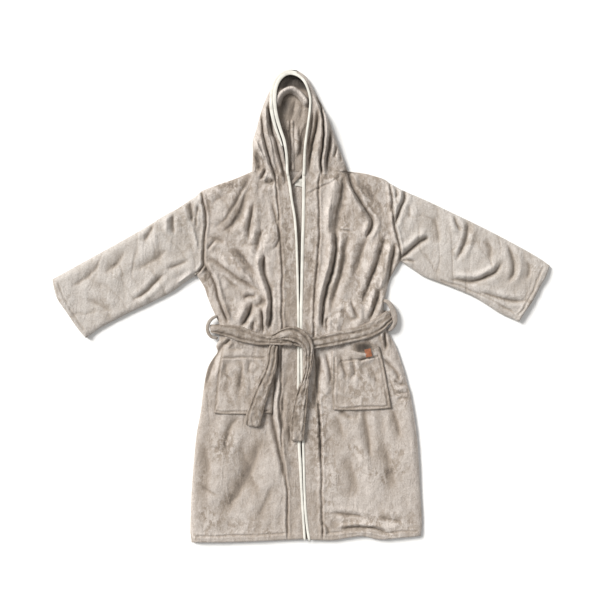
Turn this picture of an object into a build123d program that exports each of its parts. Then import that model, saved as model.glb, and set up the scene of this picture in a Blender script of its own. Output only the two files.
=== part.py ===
from build123d import *
import os

os.makedirs("parts", exist_ok=True)

# A hooded fleece bathrobe laid flat with its front up and its belt tied in a half knot.
# X runs across the robe, with the wearer's right at -X. Y runs from the hem to the hood.
# Z is up from the floor the robe lies on. All sizes are in millimetres.

# ---- driving dimensions ----
fleece = 5.0            # thickness of one layer of cloth
air = 7.0               # space between the back and the front of the robe
belt_lift = 6.0         # how far the cloth is lifted where the belt runs under the back
belt_bed = (-104.0, -4.0)   # the stretch of Y that is lifted
belt_ramp = 20.0        # length of the slope on each side of the lifted stretch
sewn_edge = 7.0         # width of a sewn side seam or folded edge that closes a hollow
piping_width = 7.0      # width of the ivory edge trim on the fronts
hood_piping_width = 9.0
thread = 1.0            # width of a row of stitching
thread_proud = 0.6      # how far the stitching stands above the cloth
neck_y = 433.0          # the neck seam, where the hood is sewn on
seam_gap = 1.0          # clearance between pieces that fold against each other
hood_middle_x = -35.0   # the centre back seam of the hood, which lies off centre
hood_puff = 14.0        # how far the hood stands above the fronts
pocket_gap = 5.5        # space inside a patch pocket
pocket_cloth = 4.0
belt_cloth = 6.0        # the belt is two layers of fleece
knot_top = 45.0
loop_radius = 4.0       # half the thickness of the rolled belt loops
loop_height = 18.0      # height of the belt loops above the floor
right_loop_bend = 8.0   # how tightly each loop turns
left_loop_bend = 10.0
hanger_width = 9.0      # the hanger loop inside the back neck
hanger_thickness = 3.0
label_thickness = 1.0
leather_thickness = 2.0
knot_softness = 6.0     # how far the top edges of the knot are bevelled
belt_slack = 0.3        # how far the belt under the back stays below the lifted cloth
tail_fullness = 0.5     # the ends of the belt lie a little thicker than the rest
neck_tuck = 20.0        # how far the hood's outlines run past the neck seam before they are cut

front_under = fleece + air
front_top = front_under + fleece
patch_under = front_top + pocket_gap
patch_top = patch_under + pocket_cloth
belt_under = front_top + belt_lift + 1.0
belt_top = belt_under + belt_cloth
tail_under = patch_top + seam_gap
hood_base_y = neck_y + seam_gap
long_way = 900.0        # reaches past the robe in every direction
tall = 80.0             # reaches above the robe

# ---- outline of the body, from the neck down each side to the hem ----
right_shoulder = [(-157, neck_y), (-200, 414), (-260, 392), (-314, 371)]
right_side = [
    (-314, 108), (-310, 64), (-300, 34), (-288, 4), (-272, -30), (-262, -56), (-262, -104),
    (-272, -130), (-285, -171), (-300, -196), (-312, -256), (-335, -406), (-345, -506),
    (-353, -606), (-355, -706), (-350, -757.5),
]
left_shoulder = [(150, neck_y), (190, 430), (250, 416), (285, 394)]
left_side = [
    (318, 144), (300, 114), (288, 94), (280, 69), (272, 44), (265, 14), (263, -10), (270, -50),
    (278, -81), (292, -106), (305, -136), (325, -196), (343, -256), (361, -299), (370, -406),
    (378, -506), (383, -606), (388, -706), (385, -736),
]
right_hem = [(-100, -751), (-43, -748)]
middle_hem = [(0, -746)]
left_hem = [(70, -749), (100, -750), (200, -738), (250, -748)]

# ---- the seams of the front bands and the two front edges, from the hem up to the neck ----
right_band_seam = [
    (-43, -748), (-45, -586), (-60, -466), (-68, -300), (-60, -56), (-62, 134), (-68, 254),
    (-84, neck_y),
]
right_edge = [
    (8, -746), (-1, -606), (-6, -506), (-10, -436), (-12, -266), (-12, -56), (-16, 134),
    (-24, 284), (-34, 344), (-48, neck_y),
]
left_edge = [
    (31, -748), (24, -706), (17, -626), (12, -466), (6, -266), (4, -26), (5, 34), (9, 194),
    (12, 300), (13, neck_y),
]
left_band_seam = [
    (70, -749), (68, -626), (60, -406), (48, -200), (40, -46), (50, 114), (58, 284), (58, neck_y),
]

# ---- sleeves, each from the top of the armhole round by the cuff to the underarm ----
right_sleeve_top = [(-315, 370), (-358, 341), (-440, 292), (-600, 197), (-800, 88)]
right_cuff = [(-785, 34), (-750, -21)]
right_underarm = [(-688, -101), (-560, -24), (-420, 44), (-345, 97), (-315, 109)]
left_sleeve_top = [(286, 394.2), (330, 372), (480, 304), (680, 204), (800, 132)]
left_cuff = [(770, 69), (738, 9)]
left_underarm = [(700, -48), (560, 29), (400, 94), (319, 144.2)]

# ---- hood outline and the middle line of its ivory trim ----
hood_right_outline = [
    (-157, hood_base_y), (-155, 524), (-137, 594), (-108, 674), (-83, 724), (-60, 750),
    (-35, 757.5),
]
hood_left_outline = [
    (-10, 756), (20, 736), (42, 694), (95, 584), (132, 484), (150, hood_base_y),
]
face_opening = [
    (-44.5, hood_base_y), (-50, 494), (-57, 529), (-68, 554), (-78, 584), (-86, 614),
    (-91, 654), (-90, 684), (-82, 712), (-66, 736), (-38, 747), (-12, 741), (8, 724), (20, 700),
    (28, 674), (31, 654), (28, 624), (22, 584), (14, 534), (11, 494), (9.5, hood_base_y),
]

# ---- pockets, each from the mouth down the sides ----
right_pocket_outline = [
    (-248, -134), (-265, -206), (-275, -306), (-279, -341), (-92, -343), (-86, -246),
    (-104, -134),
]
left_pocket_outline = [
    (98, -146), (97, -246), (103, -331), (290, -326), (278, -266), (265, -186), (248, -130),
    (205, -134), (165, -134), (115, -138),
]

# ---- belt ----
right_run = [
    (-286, -58), (-265, -51), (-245, -51), (-205, -64), (-150, -88), (-95, -93), (-95, -122),
    (-130, -116), (-190, -104), (-240, -103), (-265, -94), (-286, -86),
]
left_run = [
    (36, -98), (60, -98), (120, -76), (180, -63), (210, -54), (235, -41), (255, -21), (274, -9),
    (297, -44), (280, -71), (250, -88), (190, -106), (120, -124), (36, -134),
]
back_run = [
    (-286, -58), (-240, -50), (240, -12), (274, -9), (297, -44), (240, -60), (-240, -98),
    (-286, -86),
]
right_turn = [(-286, -58), (-280, -58), (-280, -86), (-286, -86)]
left_turn = [(274, -9), (297, -44), (292, -47.3), (269, -12.3)]
knot_outline = [
    (-95, -93), (-80, -81), (-60, -71), (-40, -66), (-15, -68), (5, -78), (36, -98),
    (36, -134), (-40, -132), (-95, -122),
]
right_tail_outline = [
    (-108, -139), (-108, -181), (-120, -206), (-150, -266), (-170, -326), (-182, -366),
    (-165, -378), (-145, -386), (-128, -381), (-118, -346), (-105, -276), (-90, -246),
    (-80, -186), (-74, -139),
]
left_tail_outline = [
    (9, -139), (15, -186), (0, -246), (-20, -296), (-32, -376), (-35, -406), (-15, -434),
    (10, -426), (17, -376), (25, -306), (30, -246), (30, -211), (33, -191), (40, -146), (40, -139),
]
right_loop_route = [(-279, -31), (-292, -42), (-300, -66), (-298, -86), (-287, -99), (-279, -104)]
left_loop_route = [(275.5, 16), (292, 8), (305, -22), (308, -48), (300, -70), (283.5, -80)]


# ---- helpers ----
def shifted(points, across, along):
    """The same run of points, moved across and along the robe."""
    return [(x + across, y + along) for x, y in points]


def plan(points):
    """A flat face with this outline, seen from above."""
    with BuildSketch() as shape:
        with BuildLine():
            Polyline(*points, close=True)
        make_face()
    return shape.sketch


def over_belt(height):
    """Heights along Y of a layer of cloth that is lifted where the belt runs under the back."""
    low, high = belt_bed
    return [
        (-long_way, height), (low - belt_ramp, height), (low, height + belt_lift),
        (high, height + belt_lift), (high + belt_ramp, height), (long_way, height),
    ]


def over_head(height):
    """Heights along Y of the hood's upper layer, which rises from the neck seam."""
    return [
        (hood_base_y - neck_tuck, height), (hood_base_y, height), (520, height + hood_puff),
        (700, height + hood_puff), (757.5, height), (800, height),
    ]


def level(height):
    """A layer that stays at one height."""
    return [(-long_way, height), (long_way, height)]


def layer(shape, under, over):
    """Cloth of this plan shape between two lines of heights along Y."""
    with BuildPart() as cloth:
        with BuildSketch():
            add(shape)
        extrude(amount=tall)
        with BuildSketch(Plane.YZ):
            with BuildLine():
                Polyline(*under, *reversed(over), close=True)
            make_face()
        extrude(amount=long_way, both=True, mode=Mode.INTERSECT)
    return cloth.part


def stitch_row(points, height):
    """A raised row of thread along these points, lying on cloth at this height."""
    with BuildPart() as row:
        with BuildSketch(Plane.XY.offset(height)):
            with BuildLine() as route:
                Polyline(*points)
            trace(route.edges(), line_width=thread)
        extrude(amount=thread_proud)
    return row.part


def rolled_loop(route, radius):
    """A rolled cloth tube along a route of straight runs and rounded corners."""
    with BuildPart() as tube:
        with BuildLine() as centre:
            FilletPolyline(*[(x, y, loop_height) for x, y in route], radius=radius)
        with BuildSketch(Plane(origin=centre.line @ 0, z_dir=centre.line % 0)):
            Circle(loop_radius)
        sweep()
    return tube.part


def save(piece, name):
    """Label a finished piece, write it and say how big it is."""
    piece.part.label = name
    export_step(piece.part, "parts/" + name + ".step")
    print(name, "volume", round(piece.part.volume), "solids", len(piece.part.solids()))


# ---- the back: one piece of cloth from the neck to the hem ----
back_outline = (right_shoulder + right_side + right_hem + middle_hem + left_hem
                + left_side[::-1] + left_shoulder[::-1])
back_cloth = layer(plan(back_outline), over_belt(0), over_belt(fleece))
with BuildPart() as back_panel:
    add(back_cloth)
save(back_panel, "back_panel")

# ---- the fronts: cloth above the back, turned down to it at the shoulder and side seams ----
right_front_outline = right_shoulder + right_side + right_hem + right_band_seam[1:]
right_hollow_outline = (
    [(-40, 450), (-150, 450)] + shifted(right_shoulder, 0, -sewn_edge) + [(-330, 358), (-330, 108)]
    + shifted(right_side, sewn_edge, 0) + [(-343, -780), (-40, -780)])
right_front_block = layer(plan(right_front_outline), over_belt(fleece), over_belt(front_top))
right_hollow = layer(plan(right_hollow_outline), over_belt(0), over_belt(front_under))
with BuildPart() as right_front_panel:
    add(right_front_block)
    add(right_hollow, mode=Mode.SUBTRACT)
save(right_front_panel, "right_front_panel")

left_front_outline = (left_shoulder + left_side + left_hem[::-1] + left_band_seam[1:])
left_hollow_outline = (
    [(30, 450), (143, 450)] + shifted(left_shoulder, 0, -sewn_edge) + [(330, 380), (340, 144)]
    + shifted(left_side, -sewn_edge, 0) + [(378, -780), (30, -780)])
left_front_block = layer(plan(left_front_outline), over_belt(fleece), over_belt(front_top))
left_hollow = layer(plan(left_hollow_outline), over_belt(0), over_belt(front_under))
with BuildPart() as left_front_panel:
    add(left_front_block)
    add(left_hollow, mode=Mode.SUBTRACT)
save(left_front_panel, "left_front_panel")

# ---- the bands down the two front edges, and the ivory piping that finishes them ----
right_band_cloth = layer(
    plan(right_band_seam + right_edge[::-1]), over_belt(front_under), over_belt(front_top))
with BuildPart() as right_front_band:
    add(right_band_cloth)
save(right_front_band, "right_front_band")

left_band_cloth = layer(
    plan(left_band_seam + left_edge[::-1]), over_belt(front_under), over_belt(front_top))
with BuildPart() as left_front_band:
    add(left_band_cloth)
save(left_front_band, "left_front_band")

piping_under = front_under
piping_over = front_top + thread_proud
right_trim = layer(
    plan(right_edge + shifted(right_edge, piping_width, 0)[::-1]),
    over_belt(piping_under), over_belt(piping_over))
with BuildPart() as right_front_piping:
    add(right_trim)
save(right_front_piping, "right_front_piping")

left_trim = layer(
    plan(left_edge + shifted(left_edge, -piping_width, 0)[::-1]),
    over_belt(piping_under), over_belt(piping_over))
with BuildPart() as left_front_piping:
    add(left_trim)
save(left_front_piping, "left_front_piping")

# ---- the sleeves: flat tubes, closed at the top fold and the underarm seam ----
sleeve_reach = 30.0     # the hollow of a sleeve is cut this far past the cuff and the armhole
cuff_corner = 5.0       # and this far past the cuff's lower corner


def flat_sleeve(top, cuff, underarm, outward):
    """A sleeve lying flat. Outward is -1 for the sleeve at -X and 1 for the one at +X."""
    reach = sleeve_reach * outward
    inner_top = shifted(top, 0, -sewn_edge)
    inner_underarm = shifted(underarm, 0, sewn_edge)
    hollow_outline = (
        shifted(inner_top[:1], -reach, 0) + inner_top + shifted(cuff, reach, 0)
        + shifted(inner_underarm[:1], cuff_corner * outward, 0) + inner_underarm
        + shifted(inner_underarm[-1:], -reach, 0))
    with BuildPart() as tube:
        with BuildSketch():
            add(plan(top + cuff + underarm))
        extrude(amount=front_top)
        with BuildSketch(Plane.XY.offset(fleece)):
            add(plan(hollow_outline))
        extrude(amount=air, mode=Mode.SUBTRACT)
    return tube.part


right_tube = flat_sleeve(right_sleeve_top, right_cuff, right_underarm, -1)
with BuildPart() as right_sleeve:
    add(right_tube)
save(right_sleeve, "right_sleeve")

left_tube = flat_sleeve(left_sleeve_top, left_cuff, left_underarm, 1)
with BuildPart() as left_sleeve:
    add(left_tube)
save(left_sleeve, "left_sleeve")

# ---- the hood: two halves joined at the centre back seam, lying face opening up ----
hood_outline = hood_right_outline + hood_left_outline
below_neck = [(150, hood_base_y - neck_tuck), (-157, hood_base_y - neck_tuck)]
trim_outline = (
    face_opening + shifted(face_opening[-1:], 0, -neck_tuck) + shifted(face_opening[:1], 0, -neck_tuck))
right_half = plan([
    (hood_middle_x, hood_base_y), (hood_middle_x, 800), (-300, 800), (-300, hood_base_y)])
left_half = plan([
    (hood_middle_x, hood_base_y), (hood_middle_x, 800), (300, 800), (300, hood_base_y)])


def hood_face(half, hole):
    """One half of the hood seen from above, without the part inside the hole."""
    with BuildSketch() as shape:
        add(plan(hood_outline + below_neck))
        add(hole, mode=Mode.SUBTRACT)
        add(half, mode=Mode.INTERSECT)
    return shape.sketch


with BuildSketch() as opening_outer:
    add(plan(trim_outline))
    offset(amount=hood_piping_width / 2, kind=Kind.INTERSECTION)
with BuildSketch() as opening_inner:
    add(plan(trim_outline))
    offset(amount=-hood_piping_width / 2, kind=Kind.INTERSECTION)
with BuildSketch() as inside_rim:
    add(plan(hood_outline + below_neck))
    offset(amount=-sewn_edge, kind=Kind.INTERSECTION)
no_hole = plan([(800, 800), (810, 800), (810, 810)])


def hood_half(half):
    """Under layer, upper layer round the face opening, and the folded edge that joins them."""
    under_cloth = layer(hood_face(half, no_hole), level(0), level(fleece))
    folded_edge = layer(hood_face(half, inside_rim.sketch), level(fleece), over_head(front_under))
    upper_cloth = layer(
        hood_face(half, opening_outer.sketch), over_head(front_under), over_head(front_top))
    return under_cloth, folded_edge, upper_cloth


right_hood_cloth = hood_half(right_half)
with BuildPart() as hood_right_panel:
    add(right_hood_cloth)
save(hood_right_panel, "hood_right_panel")

left_hood_cloth = hood_half(left_half)
with BuildPart() as hood_left_panel:
    add(left_hood_cloth)
save(hood_left_panel, "hood_left_panel")

with BuildSketch() as hood_trim_face:
    add(opening_outer.sketch)
    add(opening_inner.sketch, mode=Mode.SUBTRACT)
    add(right_half + left_half, mode=Mode.INTERSECT)
hood_trim = layer(hood_trim_face.sketch, over_head(piping_under), over_head(piping_over))
with BuildPart() as hood_piping:
    add(hood_trim)
save(hood_piping, "hood_piping")

# ---- the patch pockets, sewn down at the sides and bottom and open at the top ----
right_pouch = [
    (-240, -100), (-240, -134), (-257, -206), (-268, -306), (-271, -334), (-100, -336),
    (-94, -246), (-112, -134), (-112, -100),
]
left_pouch = [
    (105, -100), (105, -146), (104, -246), (110, -324), (281, -319), (271, -266), (258, -186),
    (241, -130), (241, -100),
]


def patch_pocket(outline, pouch):
    """A patch of cloth raised over a pouch that is open at the top."""
    with BuildPart() as patch:
        with BuildSketch(Plane.XY.offset(front_top)):
            add(plan(outline))
        extrude(amount=pocket_gap + pocket_cloth)
        with BuildSketch(Plane.XY.offset(front_top)):
            add(plan(pouch))
        extrude(amount=pocket_gap, mode=Mode.SUBTRACT)
    return patch.part


right_patch = patch_pocket(right_pocket_outline, right_pouch)
with BuildPart() as right_pocket:
    add(right_patch)
save(right_pocket, "right_pocket")

left_patch = patch_pocket(left_pocket_outline, left_pouch)
with BuildPart() as left_pocket:
    add(left_patch)
save(left_pocket, "left_pocket")

# ---- a blank leather tab on the hem of the left pocket ----
tab_outline = [(202, -138), (221, -133), (227, -157), (208, -162)]
with BuildPart() as leather_tab:
    with BuildSketch(Plane.XY.offset(patch_top)):
        add(plan(tab_outline))
    extrude(amount=leather_thickness)
save(leather_tab, "leather_tab")

# ---- inside the back neck: a hanger loop sewn at both ends, and a blank label ----
hanger_route = [(2, 430), (-24, 400), (-35, 394), (-46, 400), (-72, 430)]
with BuildPart() as hanger_loop:
    with BuildSketch(Plane.XY.offset(fleece)):
        with BuildLine() as loop_line:
            Polyline(*hanger_route)
        trace(loop_line.edges(), line_width=hanger_width)
    extrude(amount=hanger_thickness)
save(hanger_loop, "hanger_loop")

label_outline = [(-14, 384), (7, 384), (7, 400), (-12, 400)]
with BuildPart() as neck_label:
    with BuildSketch(Plane.XY.offset(fleece)):
        add(plan(label_outline))
    extrude(amount=label_thickness)
save(neck_label, "neck_label")

# ---- the belt round the waist: two front runs, a turn at each side and the run under the back ----
back_run_top = belt_lift - belt_slack
with BuildPart() as belt_wrap:
    for run, under, over in (
        (right_run, belt_under, belt_top), (left_run, belt_under, belt_top),
        (back_run, 0, back_run_top), (right_turn, 0, belt_top), (left_turn, 0, belt_top),
    ):
        with BuildSketch(Plane.XY.offset(under)):
            add(plan(run))
        extrude(amount=over - under)
save(belt_wrap, "belt_wrap")

with BuildPart() as belt_knot:
    with BuildSketch(Plane.XY.offset(belt_under)):
        add(plan(knot_outline))
    extrude(amount=knot_top - belt_under)
    chamfer(belt_knot.faces().sort_by(Axis.Z)[-1].edges(), length=knot_softness)
save(belt_knot, "belt_knot")

for tail_outline, tail_name in (
    (right_tail_outline, "belt_right_tail"), (left_tail_outline, "belt_left_tail"),
):
    with BuildPart() as belt_tail:
        with BuildSketch(Plane.XY.offset(tail_under)):
            add(plan(tail_outline))
        extrude(amount=belt_cloth + tail_fullness)
    save(belt_tail, tail_name)

# ---- the belt loops, rolled tubes of cloth whose ends are sewn into the side seams ----
right_loop = rolled_loop(right_loop_route, right_loop_bend)
with BuildPart() as right_belt_loop:
    add(right_loop)
save(right_belt_loop, "right_belt_loop")

left_loop = rolled_loop(left_loop_route, left_loop_bend)
with BuildPart() as left_belt_loop:
    add(left_loop)
save(left_belt_loop, "left_belt_loop")

# ---- sewing thread that shows: the hem, the cuffs and the pockets ----
hem_rows = [
    stitch_row([(-344, -734), (-100, -728), (-52, -726)], front_top),
    stitch_row([(78, -728), (100, -729), (200, -716), (250, -726), (378, -714)], front_top),
]
with BuildPart() as hem_stitching:
    add(hem_rows)
save(hem_stitching, "hem_stitching")

right_cuff_row = stitch_row([(-779, 82), (-766, 44), (-745, 4), (-720, -34), (-692, -74)], front_top)
with BuildPart() as right_cuff_stitching:
    add(right_cuff_row)
save(right_cuff_stitching, "right_cuff_stitching")

left_cuff_row = stitch_row([(779, 134), (755, 74), (726, 14), (692, -28)], front_top)
with BuildPart() as left_cuff_stitching:
    add(left_cuff_row)
save(left_cuff_stitching, "left_cuff_stitching")

right_pocket_rows = [
    stitch_row(
        [(-241, -140), (-256, -206), (-265, -306), (-268, -331), (-101, -333), (-96, -246),
         (-112, -140)], patch_top),
    stitch_row([(-246, -163), (-109, -163)], patch_top),
]
with BuildPart() as right_pocket_stitching:
    add(right_pocket_rows)
save(right_pocket_stitching, "right_pocket_stitching")

left_pocket_rows = [
    stitch_row(
        [(107, -150), (107, -246), (112, -322), (278, -317), (268, -266), (256, -186),
         (243, -138)], patch_top),
    stitch_row([(107, -176), (165, -167), (205, -167), (250, -164)], patch_top),
]
with BuildPart() as left_pocket_stitching:
    add(left_pocket_rows)
save(left_pocket_stitching, "left_pocket_stitching")
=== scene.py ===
# %% [markdown]
# # A hooded fleece bathrobe, laid flat
# The robe lies on its back with its front up, its sleeves out, its hood open and its belt tied.
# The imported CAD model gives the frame: how large the robe is, where each piece lies and what moves.
# Every step below replaces one plain CAD slab with cloth that has folds, seams and a nap.

# %% Load the frame
import math

import bmesh
import bpy
import numpy as np
from mathutils import Matrix, Vector


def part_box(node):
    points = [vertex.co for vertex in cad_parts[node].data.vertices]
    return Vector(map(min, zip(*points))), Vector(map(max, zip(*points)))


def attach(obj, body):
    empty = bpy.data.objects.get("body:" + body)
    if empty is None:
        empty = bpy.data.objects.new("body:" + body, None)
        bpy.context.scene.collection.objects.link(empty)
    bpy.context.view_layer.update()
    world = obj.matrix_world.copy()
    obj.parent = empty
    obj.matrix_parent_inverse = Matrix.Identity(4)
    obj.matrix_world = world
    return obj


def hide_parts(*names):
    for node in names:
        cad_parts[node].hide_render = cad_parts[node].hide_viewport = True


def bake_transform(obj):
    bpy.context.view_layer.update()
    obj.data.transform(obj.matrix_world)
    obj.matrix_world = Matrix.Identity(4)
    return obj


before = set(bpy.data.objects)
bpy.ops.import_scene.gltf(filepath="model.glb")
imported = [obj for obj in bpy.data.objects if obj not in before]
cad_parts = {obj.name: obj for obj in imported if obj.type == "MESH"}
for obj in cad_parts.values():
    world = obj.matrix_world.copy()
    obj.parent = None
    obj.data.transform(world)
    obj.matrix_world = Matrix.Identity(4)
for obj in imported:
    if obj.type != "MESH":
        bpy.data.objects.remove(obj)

scene = bpy.context.scene
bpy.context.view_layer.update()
mm = 0.001

# %% [markdown]
# ## Heights that everything shares
# Cloth on a floor is a stack of layers. These heights come from the CAD pieces, in millimetres, so that
# each sheet lies in the space its CAD slab holds: the back on the floor, the fronts above it, then the
# pockets and the belt.

# %% Read the heights of the layers
def top_of(node):
    """Height of a CAD piece's upper side, in millimetres."""
    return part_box(node)[1][2] / mm


back_top = 4.5      # the back sheet, 4 mm thick, and the pile under it
front_top = top_of("hem_stitching")
hood_top = top_of("hood_right_panel")
knot_top = top_of("belt_knot")
print("front", round(front_top, 1), "hood", round(hood_top, 1), "knot", round(knot_top, 1))

# %% [markdown]
# ## Lines drawn on the cloth
# A tailor chalks a few points and draws a smooth line through them. `smooth_line` does the same with a
# Catmull-Rom curve, which passes through every chalked point. Points are in millimetres, X across the
# robe and Y up towards the hood.

# %% Smooth lines
def smooth_line(points, parts=7):
    """A smooth run of points through the chalked ones."""
    p = np.array(points, float)
    p = np.vstack([2 * p[0] - p[1], p, 2 * p[-1] - p[-2]])
    t = np.linspace(0, 1, parts, endpoint=False)[:, None]
    runs = []
    for a, b, c, d in zip(p[:-3], p[1:-2], p[2:-1], p[3:]):
        runs.append(0.5 * (2 * b + (c - a) * t + (2 * a - 5 * b + 4 * c - d) * t ** 2
                           + (3 * b - a - 3 * c + d) * t ** 3))
    return np.vstack(runs + [p[-2:-1]])


def x_on(line, y):
    """Where a line that climbs the robe crosses each height y."""
    order = np.argsort(line[:, 1], kind="stable")
    return np.interp(y, line[order, 1], line[order, 0])


def along(line, t):
    """Points at shares t of a line's length."""
    line = np.asarray(line, float)
    steps = np.linalg.norm(np.diff(line[:, :2], axis=0), axis=1)
    run = np.concatenate([[0], np.cumsum(steps)])
    run = run / run[-1]
    return np.stack([np.interp(t, run, line[:, k]) for k in range(line.shape[1])], axis=-1)


def distance_to(line, x, y):
    """For each place: distance to the line, which side of it (+1 left) and how far along (0 to 1)."""
    best = np.full(x.shape, 1e9)
    side = np.ones(x.shape)
    share = np.zeros(x.shape)
    steps = np.diff(line, axis=0)
    lengths = np.maximum(np.linalg.norm(steps, axis=1), 1e-6)
    starts = np.concatenate([[0], np.cumsum(lengths)])
    for (ax, ay), (dx, dy), length, start in zip(line[:-1], steps, lengths, starts):
        t = np.clip(((x - ax) * dx + (y - ay) * dy) / length ** 2, 0, 1)
        gap = np.hypot(x - ax - t * dx, y - ay - t * dy)
        closer = gap < best
        best = np.where(closer, gap, best)
        side = np.where(closer, np.sign(dx * (y - ay) - dy * (x - ax)), side)
        share = np.where(closer, (start + t * length) / starts[-1], share)
    return best, side, share


# %% [markdown]
# The outline of the robe, in runs: the side seams and folded edges are closed, while the hem and the
# cuffs are open edges. The armholes, the band seams and the neck seam divide the pieces.

# %% The outline and the seams
neck_y = 434.0
right_side = smooth_line([
    (-350, -757), (-355, -706), (-352, -606), (-345, -506), (-335, -406), (-322, -336), (-312, -256),
    (-300, -196), (-283, -165), (-268, -142), (-272, -122), (-262, -100), (-262, -56), (-274, -26),
    (-288, 4), (-300, 34), (-310, 64), (-325, 89), (-338, 106)])
left_side = smooth_line([
    (385, -736), (388, -706), (383, -606), (378, -506), (369, -406), (352, -299), (341, -256),
    (325, -196), (305, -136), (290, -106), (278, -78), (270, -45), (265, -10), (268, 20), (275, 50),
    (280, 72), (288, 94), (300, 114), (319, 146)])
right_armhole = smooth_line([
    (-338, 106), (-322, 118), (-313, 132), (-314, 154), (-312, 212), (-306, 262), (-307, 294),
    (-315, 334), (-321, 370)])
left_armhole = smooth_line([
    (319, 146), (318, 176), (311, 212), (303, 244), (297, 276), (292, 316), (289, 350), (285, 396)])
right_shoulder = smooth_line([(-321, 370), (-300, 379), (-262, 393), (-205, 413), (-157, 434)])
left_shoulder = smooth_line([(285, 396), (268, 408), (240, 418), (205, 427), (150, 434.5)])
right_hem = smooth_line([(-350, -757), (-220, -756), (-100, -751), (8, -746)])
left_hem = smooth_line([
    (31, -748), (100, -750), (150, -742), (200, -737), (250, -747), (320, -742), (385, -736)])
right_sleeve_fold = smooth_line([
    (-321, 370), (-340, 353), (-358, 341), (-400, 313), (-440, 292), (-500, 254), (-600, 197),
    (-700, 142), (-780, 98), (-798, 88)])
right_cuff = smooth_line([
    (-798, 88), (-785, 34), (-768, 4), (-750, -21), (-730, -51), (-712, -76), (-690, -101)])
right_underarm = smooth_line([
    (-338, 106), (-345, 97), (-380, 72), (-420, 44), (-500, 4), (-560, -24), (-640, -66), (-690, -101)])
left_sleeve_fold = smooth_line([
    (285, 396), (300, 388), (330, 372), (400, 342), (480, 304), (580, 256), (680, 204), (760, 159),
    (799, 132)])
left_cuff = smooth_line([(799, 132), (785, 94), (770, 69), (755, 39), (738, 9), (720, -16), (700, -48)])
left_underarm = smooth_line([
    (319, 146), (330, 139), (360, 119), (400, 94), (480, 64), (560, 29), (640, -21), (700, -48)])
hood_right_edge = smooth_line([
    (-157, 434), (-155, 494), (-156, 524), (-152, 542), (-145, 564), (-137, 594), (-130, 619),
    (-120, 649), (-108, 677), (-95, 702), (-83, 726), (-66, 745), (-52, 754), (-35, 757)])
hood_left_edge = smooth_line([
    (150, 434.5), (142, 459), (132, 484), (122, 509), (112, 539), (103, 564), (95, 584), (85, 609),
    (72, 634), (55, 669), (42, 694), (32, 714), (20, 734), (5, 748), (-10, 755), (-35, 757)])
right_band_seam = smooth_line([
    (-43, -749), (-45, -586), (-60, -466), (-68, -300), (-60, -56), (-62, 134), (-68, 254),
    (-76, 350), (-84, 434)])
left_band_seam = smooth_line([
    (70, -749), (68, -626), (60, -406), (48, -200), (40, -46), (50, 114), (58, 214), (60, 284),
    (57, 364), (58, 434)])
right_trim_line = smooth_line([
    (12, -747), (3, -606), (-2, -506), (-6, -436), (-8, -266), (-8, -56), (-10, 54), (-12, 134),
    (-15, 214), (-20, 284), (-30, 344), (-36, 389), (-44, 434)])
left_trim_line = smooth_line([
    (27, -748), (20, -706), (13, -626), (8, -466), (3, -266), (1, -26), (2, 34), (5, 194), (8, 300),
    (9, 434)])
closed_edges = [
    np.vstack([right_side, right_underarm]),
    np.vstack([left_side, left_underarm]),
    np.vstack([right_sleeve_fold[::-1], right_shoulder, hood_right_edge, hood_left_edge[::-1],
               left_shoulder[::-1], left_sleeve_fold]),
]
open_edges = [right_hem, left_hem, right_cuff, left_cuff]
print("outline points", sum(len(e) for e in closed_edges + open_edges))

# %% [markdown]
# ## Folds
# A fold in soft cloth is a hollow with a lip of lifted cloth on each side. Each one is chalked as a
# line with a width and a depth, and fades out at its ends. Sculpting by hand would give the same
# shapes, but chalked lines can be read and changed one at a time.

# %% Chalk a fold
def smooth_noise(x, y, size, seed):
    """Soft random swells about one size across, between -1 and 1."""
    table = np.random.default_rng(seed).uniform(-1, 1, (97, 97))
    gx, gy = x / size + 40.5, y / size + 40.5
    ix, iy = np.floor(gx).astype(int), np.floor(gy).astype(int)
    fx, fy = gx - ix, gy - iy
    fx, fy = fx * fx * (3 - 2 * fx), fy * fy * (3 - 2 * fy)
    a, b = table[ix % 97, iy % 97], table[(ix + 1) % 97, iy % 97]
    c, d = table[ix % 97, (iy + 1) % 97], table[(ix + 1) % 97, (iy + 1) % 97]
    return (a * (1 - fx) + b * fx) * (1 - fy) + (c * (1 - fx) + d * fx) * fy


def fold(points, width, depth, left=0.45, right=0.45, fade=0.3):
    """A fold along a chalked line. A negative depth is a ridge. left and right are its lips."""
    return smooth_line(points), float(width), float(depth), left, right, fade


fold_strength = 1.45
crease_share = 0.6              # the sharp core of a fold, as a share of its width
narrowest_crease = 3.0          # the sheets' grids can't hold a finer one
steep_side, slack_side = 1.5, 0.8
valley_share = 1.7              # the hollow round the core
lip_distance, lip_share = 2.4, 1.35
core_part, valley_part = 0.7, 0.32
full_crease_shade_depth = 8.0                # a fold this deep gets the darkest painted crease shade


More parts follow.
